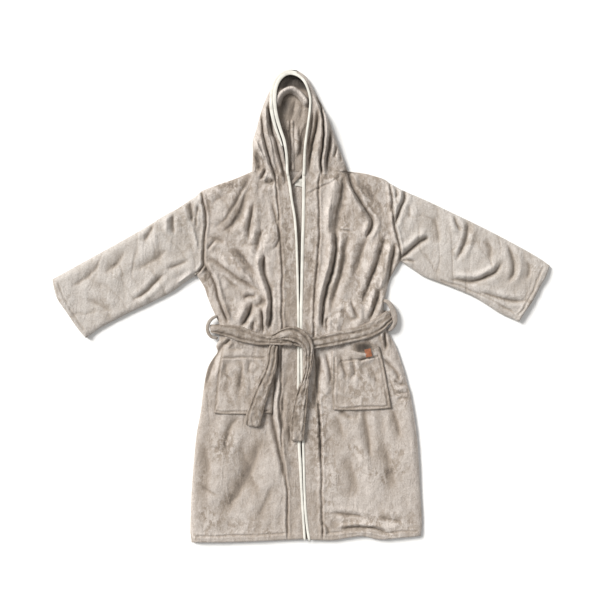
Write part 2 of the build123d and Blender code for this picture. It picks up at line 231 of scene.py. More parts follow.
def press(folds, x, y):
    """How much the folds lift or lower the cloth, and how much painted shade darkens their cores."""
    lift = np.zeros(x.shape)
    crushed_pile_and_crease_shade = np.zeros(x.shape)
    for line, width, depth, left, right, fade in folds:
        reach = 5.5 * width
        low, high = line.min(axis=0) - reach, line.max(axis=0) + reach
        near = (x > low[0]) & (x < high[0]) & (y > low[1]) & (y < high[1])
        if not near.any():
            continue
        gap, side, share = distance_to(line, x[near], y[near])
        taper = np.clip(np.minimum(share, 1 - share) / fade, 0, 1)
        taper = taper * taper * (3 - 2 * taper) * ((share > 0) & (share < 1))
        sharp = max(crease_share * width, narrowest_crease)
        steep = gap * np.where((side > 0) == (left >= right), steep_side, slack_side)
        core = np.exp(-(steep / sharp) ** 2)
        broad = np.exp(-(steep / (valley_share * width)) ** 2)
        lip = np.exp(-((gap - lip_distance * width) / (lip_share * width)) ** 2)
        lip = lip * np.where(side > 0, left, right)
        lift[near] += fold_strength * depth * taper * (lip - core_part * core - valley_part * broad)
        # painted shade in the fold's core, darker for deeper folds
        crushed_pile_and_crease_shade[near] += max(depth, 0) / full_crease_shade_depth * taper * core
    return lift, crushed_pile_and_crease_shade


# %% Folds of the right front and the shoulder above it
right_chest_folds = [
    fold([(-152, 437), (-170, 408), (-190, 370), (-215, 320), (-250, 272), (-292, 240)], 10, 3.5),
    fold([(-163, 392), (-175, 362), (-186, 330), (-205, 290), (-235, 252), (-262, 232)], 12, 6, 0.5, 0.6),
    fold([(-148, 348), (-155, 310), (-162, 270), (-166, 240), (-166, 195)], 7, 5.5),
    fold([(-103, 352), (-93, 322), (-83, 290), (-74, 260), (-69, 235), (-70, 214), (-79, 194),
          (-92, 180), (-110, 172)], 6, 4.5, 0.15, 0.3),
    fold([(-116, 252), (-128, 225), (-135, 198), (-139, 165)], 9, 5),
    fold([(-303, 180), (-290, 198), (-270, 222)], 5, 3.5),
    fold([(-308, 157), (-280, 145), (-255, 128), (-225, 108), (-195, 88), (-165, 70), (-132, 42)], 8, 6),
    fold([(-220, 190), (-195, 165), (-165, 130), (-138, 108)], 13, 5),
    fold([(-230, 170), (-190, 122), (-150, 78), (-124, 52)], 7, -4),
    fold([(-118, 172), (-122, 125), (-114, 95), (-105, 65), (-98, 40), (-96, 8), (-98, -40), (-104, -75)],
         6, 10, 0.15, 0.75, 0.12),
    fold([(-186, 26), (-166, 34), (-142, 32)], 6, 5),
    fold([(-156, 18), (-163, -6), (-174, -34), (-192, -66)], 8, 9, 0.3, 0.6),
    fold([(-108, 34), (-130, 8), (-156, -2)], 10, 5),
    fold([(-130, 5), (-123, -35), (-118, -88)], 5, 7),
    fold([(-150, -42), (-152, -62), (-150, -84)], 5, 5),
    fold([(-200, 205), (-160, 196), (-120, 205)], 9, 2),
    fold([(-300, 225), (-270, 218), (-238, 205)], 9, 3),
    fold([(-262, 108), (-225, 80), (-190, 52)], 7, 3),
    fold([(-312, 140), (-300, 116), (-283, 88), (-272, 58), (-262, 25), (-250, -5), (-238, -35), (-228, -54)],
         5, 7, 0.8, 0.1, 0.1),
    fold([(-240, 360), (-270, 340), (-290, 322)], 10, 2),
]
left_chest_folds = [
    fold([(144, 448), (137, 410), (132, 370), (125, 330), (117, 290), (112, 250), (112, 210)],
         11, 8, 0.2, 0.5),
    fold([(113, 250), (112, 215), (112, 188), (107, 155), (101, 125), (93, 92), (84, 58), (75, 20),
          (68, -20), (67, -50), (74, -78)], 6, 11, 0.25, 0.7, 0.12),
    fold([(106, 395), (95, 330), (88, 270), (90, 215), (86, 150), (75, 95), (60, 45), (52, 0), (47, -60)],
         8, -3.5),
    fold([(147, 450), (154, 420), (166, 385), (181, 355), (198, 325), (216, 300), (229, 280),
          (230, 262), (222, 240), (205, 212)], 6.5, 9, 0.5, 0.6, 0.12),
    fold([(150, 395), (170, 345), (192, 298), (206, 268)], 15, -5),
    fold([(150, 252), (146, 205), (138, 150), (125, 92), (111, 45), (102, 5), (86, -28)], 10, 6),
    fold([(88, -28), (80, -50), (86, -82)], 5, 6),
    fold([(217, 228), (199, 182), (184, 130), (170, 90)], 13, 4.5),
    fold([(282, 248), (268, 210), (260, 185), (245, 140), (228, 100), (215, 60), (200, 20), (195, -10)],
         8, 6.5),
    fold([(301, 212), (297, 175), (290, 130), (284, 95), (278, 55)], 6, 8, 0.2, 0.7),
    fold([(275, 205), (264, 135), (258, 70), (244, 15)], 8, -3),
    fold([(258, 70), (246, 25), (232, -12), (213, -56)], 7, 7.5),
    fold([(163, 25), (170, -8), (188, -44)], 6, 5),
    fold([(190, -30), (160, -42), (140, -20), (118, -5)], 9, 3),
    fold([(205, 345), (222, 322), (240, 300), (262, 292)], 7, 3),
    fold([(176, 410), (215, 372), (250, 330), (274, 290)], 14, 3),
    fold([(120, 248), (142, 243), (165, 239)], 3, 2.5),
]
print("chest folds", len(right_chest_folds) + len(left_chest_folds))

# %% Folds of the skirt
skirt_folds = [
    fold([(-236, -104), (-248, -124), (-264, -146), (-282, -176), (-298, -222), (-306, -262)],
         9, 7, 0.6, 0.2),
    fold([(-222, -104), (-236, -116), (-246, -124)], 5, 5),
    fold([(-84, -205), (-86, -258), (-91, -308), (-92, -345), (-88, -378), (-80, -415), (-66, -470),
          (-52, -560)],
         6, 7, 0.5, 0.3, 0.12),
    fold([(-72, -120), (-75, -160), (-72, -205)], 12, 6),
    fold([(-58, -270), (-55, -315), (-60, -362), (-55, -410)], 5, 4),
    fold([(-42, -375), (-36, -412), (-30, -452)], 7, 4),
    fold([(-190, -346), (-222, -376), (-236, -420), (-246, -480)], 12, 3.5),
    fold([(-112, -390), (-135, -450), (-180, -560), (-262, -690)], 30, 4.5, 0.3, 0.3),
    fold([(-320, -420), (-300, -520), (-312, -640)], 26, 3.5),
    fold([(-200, -420), (-170, -520), (-120, -640)], 24, 3),
    fold([(-150, -690), (-120, -640), (-90, -560)], 16, 2.5),
    fold([(54, -132), (58, -175), (54, -232), (46, -290), (42, -345)], 13, 8, 0.3, 0.2),
    fold([(76, -138), (84, -162), (93, -205), (94, -260)], 6, 5),
    fold([(58, -330), (61, -410), (66, -520)], 5, 3),
    fold([(267, -76), (271, -104), (277, -138)], 4, 7, 0.3, 0.3),
    fold([(258, -158), (282, -182), (302, -206), (326, -248)], 6, 5),
    fold([(296, -232), (312, -248), (332, -252)], 5, 3),
    fold([(296, -280), (315, -277), (345, -280)], 5, 3),
    fold([(302, -298), (322, -292), (352, -296)], 5, 2.5),
    fold([(192, -328), (204, -356), (212, -392), (217, -440), (232, -500)], 11, 4.5),
    fold([(288, -326), (302, -350), (312, -385), (322, -430)], 11, 4.5),
    fold([(120, -330), (146, -346), (168, -362)], 9, 4),
    fold([(108, -340), (126, -380), (134, -430)], 12, 3),
    fold([(258, -420), (282, -500), (300, -600)], 26, 3.5),
    fold([(140, -460), (170, -560), (160, -640)], 26, 3),
    fold([(90, -661), (150, -666), (222, -682)], 6, 4.5),
    fold([(108, -720), (150, -711), (200, -709), (250, -714), (302, -738)], 5, 7, 0.7, 0.3),
    fold([(68, -688), (82, -708), (98, -732)], 5, 4),
    fold([(240, -664), (280, -680), (330, -690)], 8, 3),
    fold([(-300, -446), (-262, -458), (-226, -480)], 6, 2),
    fold([(-330, -560), (-300, -590), (-258, -606)], 8, 2.5),
]
print("skirt folds", len(skirt_folds))

# %% Folds of the sleeves
sleeve_folds = [
    fold([(-358, 342), (-353, 305), (-345, 262)], 7, 7),
    fold([(-350, 262), (-336, 214), (-330, 180)], 8, -4),
    fold([(-330, 330), (-335, 290), (-332, 250)], 6, 4),
    fold([(-408, 300), (-410, 262), (-404, 228)], 7, 5),
    fold([(-432, 290), (-432, 262), (-428, 235)], 7, -3),
    fold([(-466, 270), (-484, 238), (-505, 202)], 10, 4),
    fold([(-432, 112), (-470, 72), (-505, 38), (-545, 12)], 7, 5),
    fold([(-404, 72), (-376, 92), (-345, 116)], 6, -3),
    fold([(-560, 190), (-590, 140), (-640, 100)], 14, 3),
    fold([(-420, 190), (-470, 150), (-540, 110)], 14, 3),
    fold([(-640, 140), (-690, 90), (-740, 60)], 12, 2.5),
    fold([(-600, -20), (-650, 10), (-690, 20)], 10, 2.5),
    fold([(-350, 150), (-400, 130), (-440, 118)], 7, 3),
    fold([(316, 150), (335, 169), (360, 190), (385, 212), (412, 224)], 7, 9, 0.5, 0.2, 0.15),
    fold([(318, 147), (345, 148), (372, 140)], 4, 4),
    fold([(470, 92), (520, 82), (560, 84), (600, 97), (630, 119), (650, 154)], 7, 7.5, 0.7, 0.2),
    fold([(488, 296), (500, 264), (517, 240)], 6, 5),
    fold([(526, 286), (535, 254), (535, 229), (525, 199), (510, 169), (496, 140)], 7, 6),
    fold([(652, 210), (668, 184), (680, 154), (683, 124), (675, 94), (656, 70)], 7, 6),
    fold([(556, 50), (600, 39), (640, 26), (680, 18), (712, 19), (735, 31)], 6, 5),
    fold([(329, 386), (331, 354), (322, 324), (310, 294), (303, 258)], 6, 8, 0.3, 0.5, 0.15),
    fold([(300, 345), (306, 362), (304, 380)], 5, 4),
    fold([(420, 300), (440, 240), (430, 190)], 18, 3),
    fold([(590, 220), (610, 180), (600, 140)], 14, 3.5),
    fold([(720, 150), (735, 120), (726, 85)], 10, 3),
    fold([(345, 330), (352, 300), (346, 275)], 7, 2.5),
]
sleeve_seams = [
    fold([(440, 88), (540, 54), (600, 26), (688, -22)], 2.6, 2.2, 0.3, 0.3, 0.05),
]
print("sleeve folds", len(sleeve_folds))

# %% Folds of the hood
hood_folds = [
    fold([(-101, 668), (-101, 625), (-98, 590), (-91, 560), (-82, 535), (-75, 505), (-68, 475), (-60, 445),
          (-50, 405), (-44, 375)], 4, 5.8, 0.5, 0.6, 0.18),
    fold([(-128, 632), (-123, 580), (-118, 540), (-112, 510), (-104, 480), (-98, 458), (-88, 432),
          (-80, 400)],
         4, 6, 0.5, 0.7, 0.15),
    fold([(-112, 655), (-110, 610), (-106, 565), (-98, 530), (-90, 490), (-82, 455)], 4.5, -4.5, 0.2, 0.2),
    fold([(-153, 543), (-140, 515), (-125, 485), (-110, 458)], 7, -7),
    fold([(-147, 512), (-138, 475), (-130, 436), (-128, 414)], 12, 6, 0.1, 0.1),
    fold([(-111, 442), (-120, 422), (-130, 404)], 4, 6),
    fold([(-118, 404), (-100, 398), (-84, 408)], 9, 5),
    fold([(-136, 600), (-131, 570), (-130, 545)], 5, 2.5),
    fold([(-112, 640), (-110, 600), (-106, 560)], 5, -3),
    fold([(58, 650), (51, 592), (45, 560), (38, 530), (32, 500), (26, 455), (24, 420)], 7, 9, 0.5, 0.3, 0.3),
    fold([(46, 690), (60, 650), (67, 620), (70, 590), (71, 560), (70, 530), (68, 500), (64, 450), (66, 410)],
         3.6, 9.5, 0.6, 0.5, 0.15),
    fold([(98, 575), (93, 530), (90, 500), (85, 452), (86, 425)], 5.5, 6.5, 0.4, 0.4, 0.35),
    fold([(40, 640), (36, 600), (28, 560), (22, 520), (18, 480)], 3.5, 4.5, 0.2, 0.6),
    fold([(84, 610), (83, 570), (80, 530), (78, 480)], 5, -4.5),
    fold([(120, 530), (126, 495), (130, 455)], 6, 3.5),
    fold([(113, 515), (113, 492), (110, 470)], 5, 4),
    fold([(54, 545), (54, 510), (52, 470)], 5, -3),
]
neck_seams = [
    fold([(150, 440), (122, 416), (97, 396), (72, 388), (52, 378), (30, 366), (16, 362)],
         2.4, 1.6, 0.2, 0.5, 0.10),
    fold([(-157, 434), (-140, 424), (-120, 414), (-95, 404), (-80, 398)], 2.6, 1.5, 0.3, 0.3, 0.1),
]
hood_inner_folds = [
    fold([(-82, 640), (-76, 662), (-62, 684), (-46, 696), (-28, 700), (-5, 686), (12, 666), (24, 640)],
         6.5, -17, 0.0, 0.0, 0.10),
    fold([(-70, 640), (-60, 664), (-46, 680), (-30, 684), (-10, 672), (4, 652), (10, 630)],
         4.5, 8, 0.0, 0.0, 0.2),
    fold([(-36, 602), (-35, 560), (-33, 500), (-33, 436)], 2.4, 4.5, 0.9, 0.6, 0.04),
    fold([(-18, 668), (-24, 640), (-34, 596)], 5.5, 3.5, 0.1, 0.3, 0.45),
    fold([(6, 664), (4, 636), (-4, 596)], 6.5, 3.0, 0.1, 0.3, 0.45),
    fold([(24, 590), (10, 564), (3, 534), (4, 505)], 4.0, 5.5, 0.8, 0.3),
    fold([(-8, 590), (-15, 556), (-13, 516), (-18, 470)], 11, -5.5),
    fold([(6, 560), (-3, 520), (3, 480)], 5, 4),
]
print("hood folds", len(hood_folds) + len(hood_inner_folds))

# %% [markdown]
# ## The lie of the cloth
# One function gives the height of the robe's upper layer everywhere. Panels that meet at a seam then
# meet exactly, because both of them ask the same function. The cloth swells over the belt's back run,
# rises round the face opening, rolls down to the floor at a closed edge, and never sinks through the back.

# %% Height of the upper and the lower layer
rest_height = front_top - 0.5    # the fronts' upper side before any fold is pressed in
closed_roll = 21.0      # how far in from a folded edge the cloth reaches its full height
open_roll = 6.0
edge_height = 7.5       # where the two layers meet at a closed edge
hem_width = 22.0
back_hump = 5.0         # the belt's back run lifts the cloth above it
seam_lines = [right_band_seam, left_band_seam, right_armhole, left_armhole]
hem_rows = [
    [(-340, -734), (-220, -734), (-100, -729), (-50, -727)],
    [(78, -728), (150, -721), (200, -716), (250, -725), (320, -720), (376, -716)],
]
right_cuff_row = [(-779, 80), (-766, 44), (-745, 4), (-720, -34), (-692, -76)]
left_cuff_row = [(779, 132), (755, 74), (726, 14), (692, -28)]
seam_folds = ([(line, 2.8, 3.2, 0.5, 0.5, 0.02) for line in seam_lines[:2]]
              + [(line, 3.4, 5.0, 0.5, 0.5, 0.02) for line in seam_lines[2:]]
              + [fold(row, 2.2, 1.7, 0.6, 0.6, 0.02) for row in hem_rows + [right_cuff_row, left_cuff_row]])
top_folds = (right_chest_folds + left_chest_folds + skirt_folds + sleeve_folds + sleeve_seams
             + hood_folds + neck_seams + seam_folds)


def ease(t):
    """Smooth step from 0 to 1."""
    t = np.clip(t, 0, 1)
    return t * t * (3 - 2 * t)


def nearest(edges, x, y):
    """Distance to the nearest of several lines."""
    return np.min([distance_to(e[::3] if len(e) > 60 else e, x, y)[0] for e in edges], axis=0)


def over_belt(x, y):
    """The swell of the cloth above the belt's back run."""
    return back_hump * ease((y + 134) / 34) * ease((26 - y) / 34) * ease((300 - np.abs(x)) / 40)


def hood_rise(y):
    """How much higher the hood's outer layer stands, most of it round the face opening."""
    return (hood_top - front_top - 3) * ease((y - neck_y + 14) / 95) * (1 - 0.6 * ease((y - 700) / 55))


def random_swell(x, y):
    """Small uneven swells that any laid cloth has, drawn out lengthwise as the cloth hangs."""
    calm = 1 - 0.42 * np.maximum(ease((-330 - y) / 120), ease((np.abs(x) - 330) / 80))
    return calm * (2.4 * smooth_noise(x, 0.55 * y, 83, 1) + 1.7 * smooth_noise(x, 0.6 * y, 37, 2)
            + 0.8 * smooth_noise(x, 0.7 * y, 17, 3) + 0.35 * smooth_noise(x, y, 9, 4))


def gathers(x, y):
    """Upright ripples where the belt draws the cloth in, and where the hood is eased onto the neck."""
    waist = np.exp(-((y + 72) / 95) ** 2) * ease((300 - np.abs(x)) / 60)
    neck = np.exp(-((y - 480) / 80) ** 2)
    return (3.4 * waist * smooth_noise(x, 0.2 * y, 25, 14) + 1.6 * waist * smooth_noise(x, 0.25 * y, 11, 15)
            + 2.6 * neck * smooth_noise(x, 0.22 * y, 21, 16))


def wobble(x, y):
    """Chalked lines are too clean: shift each place a little before the folds are pressed in."""
    wx = x + 2.6 * smooth_noise(x, y, 41, 5) + 1.1 * smooth_noise(x, y, 15, 6)
    wy = y + 2.6 * smooth_noise(x, y, 41, 7) + 1.1 * smooth_noise(x, y, 15, 8)
    return wx, wy


# Painted shade in creases and painted highlight on ridges, multiplied into the cloth's colour.
valley_shade = 0.024     # how fast the painted shade darkens the colour with depth, for each millimetre
crease_shade = 0.74
ridge_light = 0.13
layer_gap = 4.0          # the least height of the upper layer above the back
settle = 1.5             # how softly the upper layer comes to rest on it
hem_ridge = 1.6          # the doubled hem stands this much higher
hem_floor = 9.5
inner_roll = 10.0


def roll(distance, width):
    """A quarter of an ellipse: 0 at the edge, 1 from width inwards."""
    return np.sqrt(np.clip(1 - (1 - np.clip(distance / width, 0, 1)) ** 2, 0, 1))


def fine_creases(x, y):
    """Thin wrinkles, 0 to 1: the lines where a long drawn-out swell changes sign, in patches."""
    patches = ease(1.5 * smooth_noise(x, y, 90, 18) + 0.30)
    upright = np.exp(-(smooth_noise(x + 0.10 * y, 0.24 * y, 33, 19) / 0.085) ** 2)
    across, down = 0.80 * x + 0.60 * y, 0.80 * y - 0.60 * x
    slanted = np.exp(-(smooth_noise(across, 0.30 * down, 41, 20) / 0.075) ** 2)
    return patches * upright + (1 - patches) * 0.7 * slanted


def relief(x, y):
    """How much folds, gathers and swells lift the upper layer, and the painted shade and highlight they put
    in its colour.
    """
    lift, crushed_pile_and_crease_shade = press(top_folds, *wobble(x, y))
    wrinkles = fine_creases(*wobble(x, y)) * (0.35 + 0.65 * ease((y + 430) / 250))
    lift = lift + gathers(x, y) + random_swell(x, y) - 1.9 * wrinkles
    lift = lift + 1.2 * smooth_noise(x, y, 6.5, 21) * np.exp(-(nearest(seam_lines, x, y) / 8) ** 2)
    return lift, light_in(lift, crushed_pile_and_crease_shade + 0.22 * wrinkles)


def light_in(lift, crushed_pile_and_crease_shade=0.0):
    """Painted shade and highlight: the colour is darkened in creases and hollows and lightened on ridges."""
    return (np.exp(-valley_shade * np.maximum(-lift - 1.5, 0) - crease_shade * crushed_pile_and_crease_shade)
            * (1 + ridge_light * np.tanh(np.maximum(lift, 0) / 4)))


def cloth_top(x, y, folded=True, lift=None):
    """Height of the upper side of the robe's upper layer, in millimetres."""
    height = rest_height + over_belt(x, y) + hood_rise(y)
    if folded:
        height = height + (relief(x, y)[0] if lift is None else lift)
    least = back_top + layer_gap
    height = least + np.logaddexp(0, (height - least) / settle) * settle
    hem = nearest(open_edges, x, y)
    height = height + hem_ridge * ease((hem_width - hem) / 3)
    height = hem_floor + (height - hem_floor) * (0.3 + 0.7 * roll(hem, open_roll))
    side = nearest(closed_edges, x, y)
    return edge_height + (height - edge_height) * roll(side, closed_roll)


def cloth_under(x, y):
    """Height of the lower side of the robe's lower layer, which lies on the floor."""
    side = nearest(closed_edges, x, y)
    lying = 0.4 + over_belt(x, y) + 0.25 * (1 + smooth_noise(x, y, 50, 9))
    return edge_height + (lying - edge_height) * roll(side, inner_roll)


print("height at the chest", round(float(cloth_top(np.array([-200.0]), np.array([300.0]))[0]), 1))

# %% [markdown]
# ## Crushed pile
# Packing and hands crush the pile in places: on the shoulders, along the bands, round the pocket mouths and
# near the hem. Each place is given as a centre, a reach across and up, and a strength. The fleece reads it.

# %% Places where the pile is crushed
crushed_places = [
    (-215, 385, 85, 34, 1.0), (-70, 405, 60, 40, 0.9), (95, 415, 70, 30, 0.9), (215, 350, 55, 80, 0.8),
    (285, 330, 30, 60, 0.7), (265, 190, 32, 95, 0.8), (215, 45, 60, 80, 0.9), (-42, 190, 26, 230, 0.8),
    (32, 170, 24, 240, 0.7), (-300, 90, 22, 60, 0.9), (-245, -445, 40, 48, 1.0), (58, -400, 34, 150, 1.0),
    (95, -545, 30, 60, 0.7), (230, -690, 150, 34, 0.8), (310, -265, 50, 60, 0.7), (190, -250, 80, 80, 0.6),
    (-200, -250, 75, 60, 0.5), (-130, 470, 30, 40, 0.8), (105, 470, 50, 50, 0.7), (-300, 330, 30, 40, 0.8),
    (-200, -700, 80, 30, 0.4), (-110, 40, 50, 60, 0.5), (-30, -370, 22, 160, 0.6), (-360, 290, 40, 50, 0.5),
    (-230, 170, 60, 40, 0.4), (-180, 200, 120, 170, 0.4), (160, 210, 110, 180, 0.45),
    (0, -95, 320, 42, 0.8), (-130, -280, 42, 120, 0.7), (0, -290, 36, 150, 0.9),
]


def worn(x, y):
    """How crushed the pile is, 0 to 1."""
    amount = np.zeros(x.shape)
    for middle_x, middle_y, across, up, strength in crushed_places:
        gap = ((x - middle_x) / across) ** 2 + ((y - middle_y) / up) ** 2
        amount = np.maximum(amount, strength * np.exp(-gap))
    return amount


# %% [markdown]
# ## Sheets
# A sheet of cloth starts as a flat grid. Each point of the grid is moved to its place on the robe, and a
# Solidify modifier gives the cloth its thickness. The grid keeps a second set of coordinates, `lie`,
# with the place of each point at rest, so that the nap stays on the cloth when a joint bends it.

# %% Make a sheet from a grid
def grid_piece(name, across, up, place, join=False):
    """A grid whose points go where place(u, v) says, in millimetres. join sews its two long edges."""
    bm = bmesh.new()
    bmesh.ops.create_grid(bm, x_segments=across, y_segments=up, size=0.5)
    mesh = bpy.data.meshes.new(name)
    bm.to_mesh(mesh)
    bm.free()
    flat = np.empty(len(mesh.vertices) * 3)
    mesh.vertices.foreach_get("co", flat)
    flat = flat.reshape(-1, 3)
    u, v = flat[:, 0] + 0.5, flat[:, 1] + 0.5
    x, y, z, *light = place(u, v)
    mesh.vertices.foreach_set("co", (np.stack([x, y, z], axis=1) * mm).ravel())
    # light holds painted shade and highlight, which the materials multiply into the colour
    painted_light_factor = np.broadcast_to(light[0] if light else 1.0, x.shape)
    mesh.attributes.new("light", "FLOAT", "POINT").data.foreach_set("value", np.ascontiguousarray(painted_light_factor))
    mesh.attributes.new("worn", "FLOAT", "POINT").data.foreach_set("value", worn(x, y))
    mesh.update()
    if join:
        bm = bmesh.new()
        bm.from_mesh(mesh)
        bmesh.ops.remove_doubles(bm, verts=bm.verts, dist=0.02 * mm)
        bm.to_mesh(mesh)
        bm.free()
    piece = bpy.data.objects.new(name, mesh)
    scene.collection.objects.link(piece)
    return keep_lie(piece)


def keep_lie(piece):
    """Stores where each point lies at rest, for the materials to read, and keeps cut edges crisp."""
    mesh = piece.data
    if "light" not in mesh.attributes:
        mesh.attributes.new("light", "FLOAT", "POINT").data.foreach_set("value", np.ones(len(mesh.vertices)))
    bm = bmesh.new()
    bm.from_mesh(mesh)
    for edge in bm.edges:
        edge.smooth = not edge.is_boundary
    bm.to_mesh(mesh)
    bm.free()
    places = np.empty(len(mesh.vertices) * 3)
    mesh.vertices.foreach_get("co", places)
    mesh.attributes.new("lie", "FLOAT_VECTOR", "POINT").data.foreach_set("vector", places)
    mesh.polygons.foreach_set("use_smooth", np.ones(len(mesh.polygons), bool))
    return piece


def face_up(piece, sign=1):
    """Turns an open sheet so that its faces look up (or down, with sign -1)."""
    normals = np.empty(len(piece.data.polygons) * 3)
    piece.data.polygons.foreach_get("normal", normals)
    if sign * normals.reshape(-1, 3)[:, 2].sum() < 0:
        piece.data.flip_normals()
    return piece


def face_out(piece):
    """Turns a folded sheet so that its upper layer faces up and its lower layer faces down."""
    count = len(piece.data.polygons)
    normals, centres = np.empty(count * 3), np.empty(count * 3)
    piece.data.polygons.foreach_get("normal", normals)
    piece.data.polygons.foreach_get("center", centres)
    upward = normals.reshape(-1, 3)[:, 2] * (centres.reshape(-1, 3)[:, 2] - 0.009)
    if upward.sum() < 0:
        piece.data.flip_normals()
    print(piece.name, "faces outward", bool(upward.sum() > 0), "before the turn")
    return piece


def thicken(piece, thickness, inward=-1):
    """Gives a sheet its thickness below its outer side."""
    wall = piece.modifiers.new("cloth thickness", "SOLIDIFY")
    wall.thickness = thickness * mm
    wall.offset = inward
    wall.use_even_offset = False
    wall.use_rim = True
    return piece


def mixed(a, b, t):
    """Between a and b."""
    return a + (b - a) * t


# %% [markdown]
# ## Materials
# Coral fleece is a knitted polyester with a short, dense pile. Where the pile has been stroked one way it
# looks pale and silky, and where it leans the other way it looks dark, so the cloth is mottled at every
# scale. The shader mixes noise at several sizes into the colour, adds a sheen, and raises the pile with
# a bump. Sheen and roughness are set on the shader itself.

# %% Fleece
def node(tree, kind, **values):
    """A new shader node with some of its settings and inputs given."""
    made = tree.nodes.new(kind)
    for key, value in values.items():
        if key in made.inputs:
            made.inputs[key].default_value = value
        else:
            setattr(made, key, value)
    return made


def noise_layer(tree, place, size, detail=2.0, roughness=0.55, stretch=(1, 1, 1), torn=0.0):
    """A noise pattern about size metres across, read from the cloth's own coordinates."""
    mapping = node(tree, "ShaderNodeMapping")
    mapping.inputs["Scale"].default_value = [s / size for s in stretch]
    tree.links.new(place, mapping.inputs["Vector"])
    noise = node(tree, "ShaderNodeTexNoise", Scale=1.0, Detail=detail, Roughness=roughness, Distortion=torn)
    tree.links.new(mapping.outputs["Vector"], noise.inputs["Vector"])
    return noise.outputs["Fac"]


def ramp(tree, value, low, high, dark, light):
    """Runs from one number to another as a pattern goes from low to high."""
    step = node(tree, "ShaderNodeMapRange", interpolation_type="SMOOTHSTEP")
    step.inputs["From Min"].default_value = low
    step.inputs["From Max"].default_value = high
    step.inputs["To Min"].default_value = dark
    step.inputs["To Max"].default_value = light
    tree.links.new(value, step.inputs["Value"])
    return step.outputs["Result"]


def multiply(tree, a, b):
    product = node(tree, "ShaderNodeMath", operation="MULTIPLY")
    tree.links.new(a, product.inputs[0])
    tree.links.new(b, product.inputs[1])
    return product.outputs[0]


def tint(tree, colour, factor):
    """A colour made lighter or darker by a pattern."""
    scale = node(tree, "ShaderNodeVectorMath", operation="SCALE")
    scale.inputs[0].default_value = colour
    tree.links.new(factor, scale.inputs["Scale"])
    return scale.outputs["Vector"]


def new_material(name, roughness, sheen, sheen_roughness=0.4):
    """A material with a Principled shader, and the cloth's coordinates to draw on."""
    material = bpy.data.materials.new(name)
    material.use_nodes = True
    tree = material.node_tree
    shader = tree.nodes["Principled BSDF"]
    shader.inputs["Roughness"].default_value = roughness
    shader.inputs["Sheen Weight"].default_value = sheen
    shader.inputs["Sheen Roughness"].default_value = sheen_roughness
    shader.inputs["Specular IOR Level"].default_value = 0.25
    place = node(tree, "ShaderNodeAttribute", attribute_name="lie").outputs["Vector"]
    return material, tree, shader, place


def raise_pile(tree, shader, layers):
    """Bumps stacked one on another: (pattern, height in metres)."""
    normal = None
    for pattern, height in layers:
        bump = node(tree, "ShaderNodeBump", Strength=1.0, Distance=height)
        tree.links.new(pattern, bump.inputs["Height"])
        if normal is not None:
            tree.links.new(normal, bump.inputs["Normal"])
        normal = bump.outputs["Normal"]
    tree.links.new(normal, shader.inputs["Normal"])


def between(tree, mask, low, high):
    """Runs from one pattern to another as the mask goes from 0 to 1."""
    mix = node(tree, "ShaderNodeMix", data_type="FLOAT")
    tree.links.new(mask, mix.inputs[0])
    for value, socket in ((low, mix.inputs[2]), (high, mix.inputs[3])):
        if isinstance(value, float):
            socket.default_value = value
        else:
            tree.links.new(value, socket)
    return mix.outputs[0]


def blend_colours(tree, factor, first, second):
    """Runs from one colour to another as the factor goes from 0 to 1."""
    mix = node(tree, "ShaderNodeMix", data_type="RGBA")
    tree.links.new(factor, mix.inputs["Factor"])
    tree.links.new(first, mix.inputs[6])
    tree.links.new(second, mix.inputs[7])
    return mix.outputs[2]


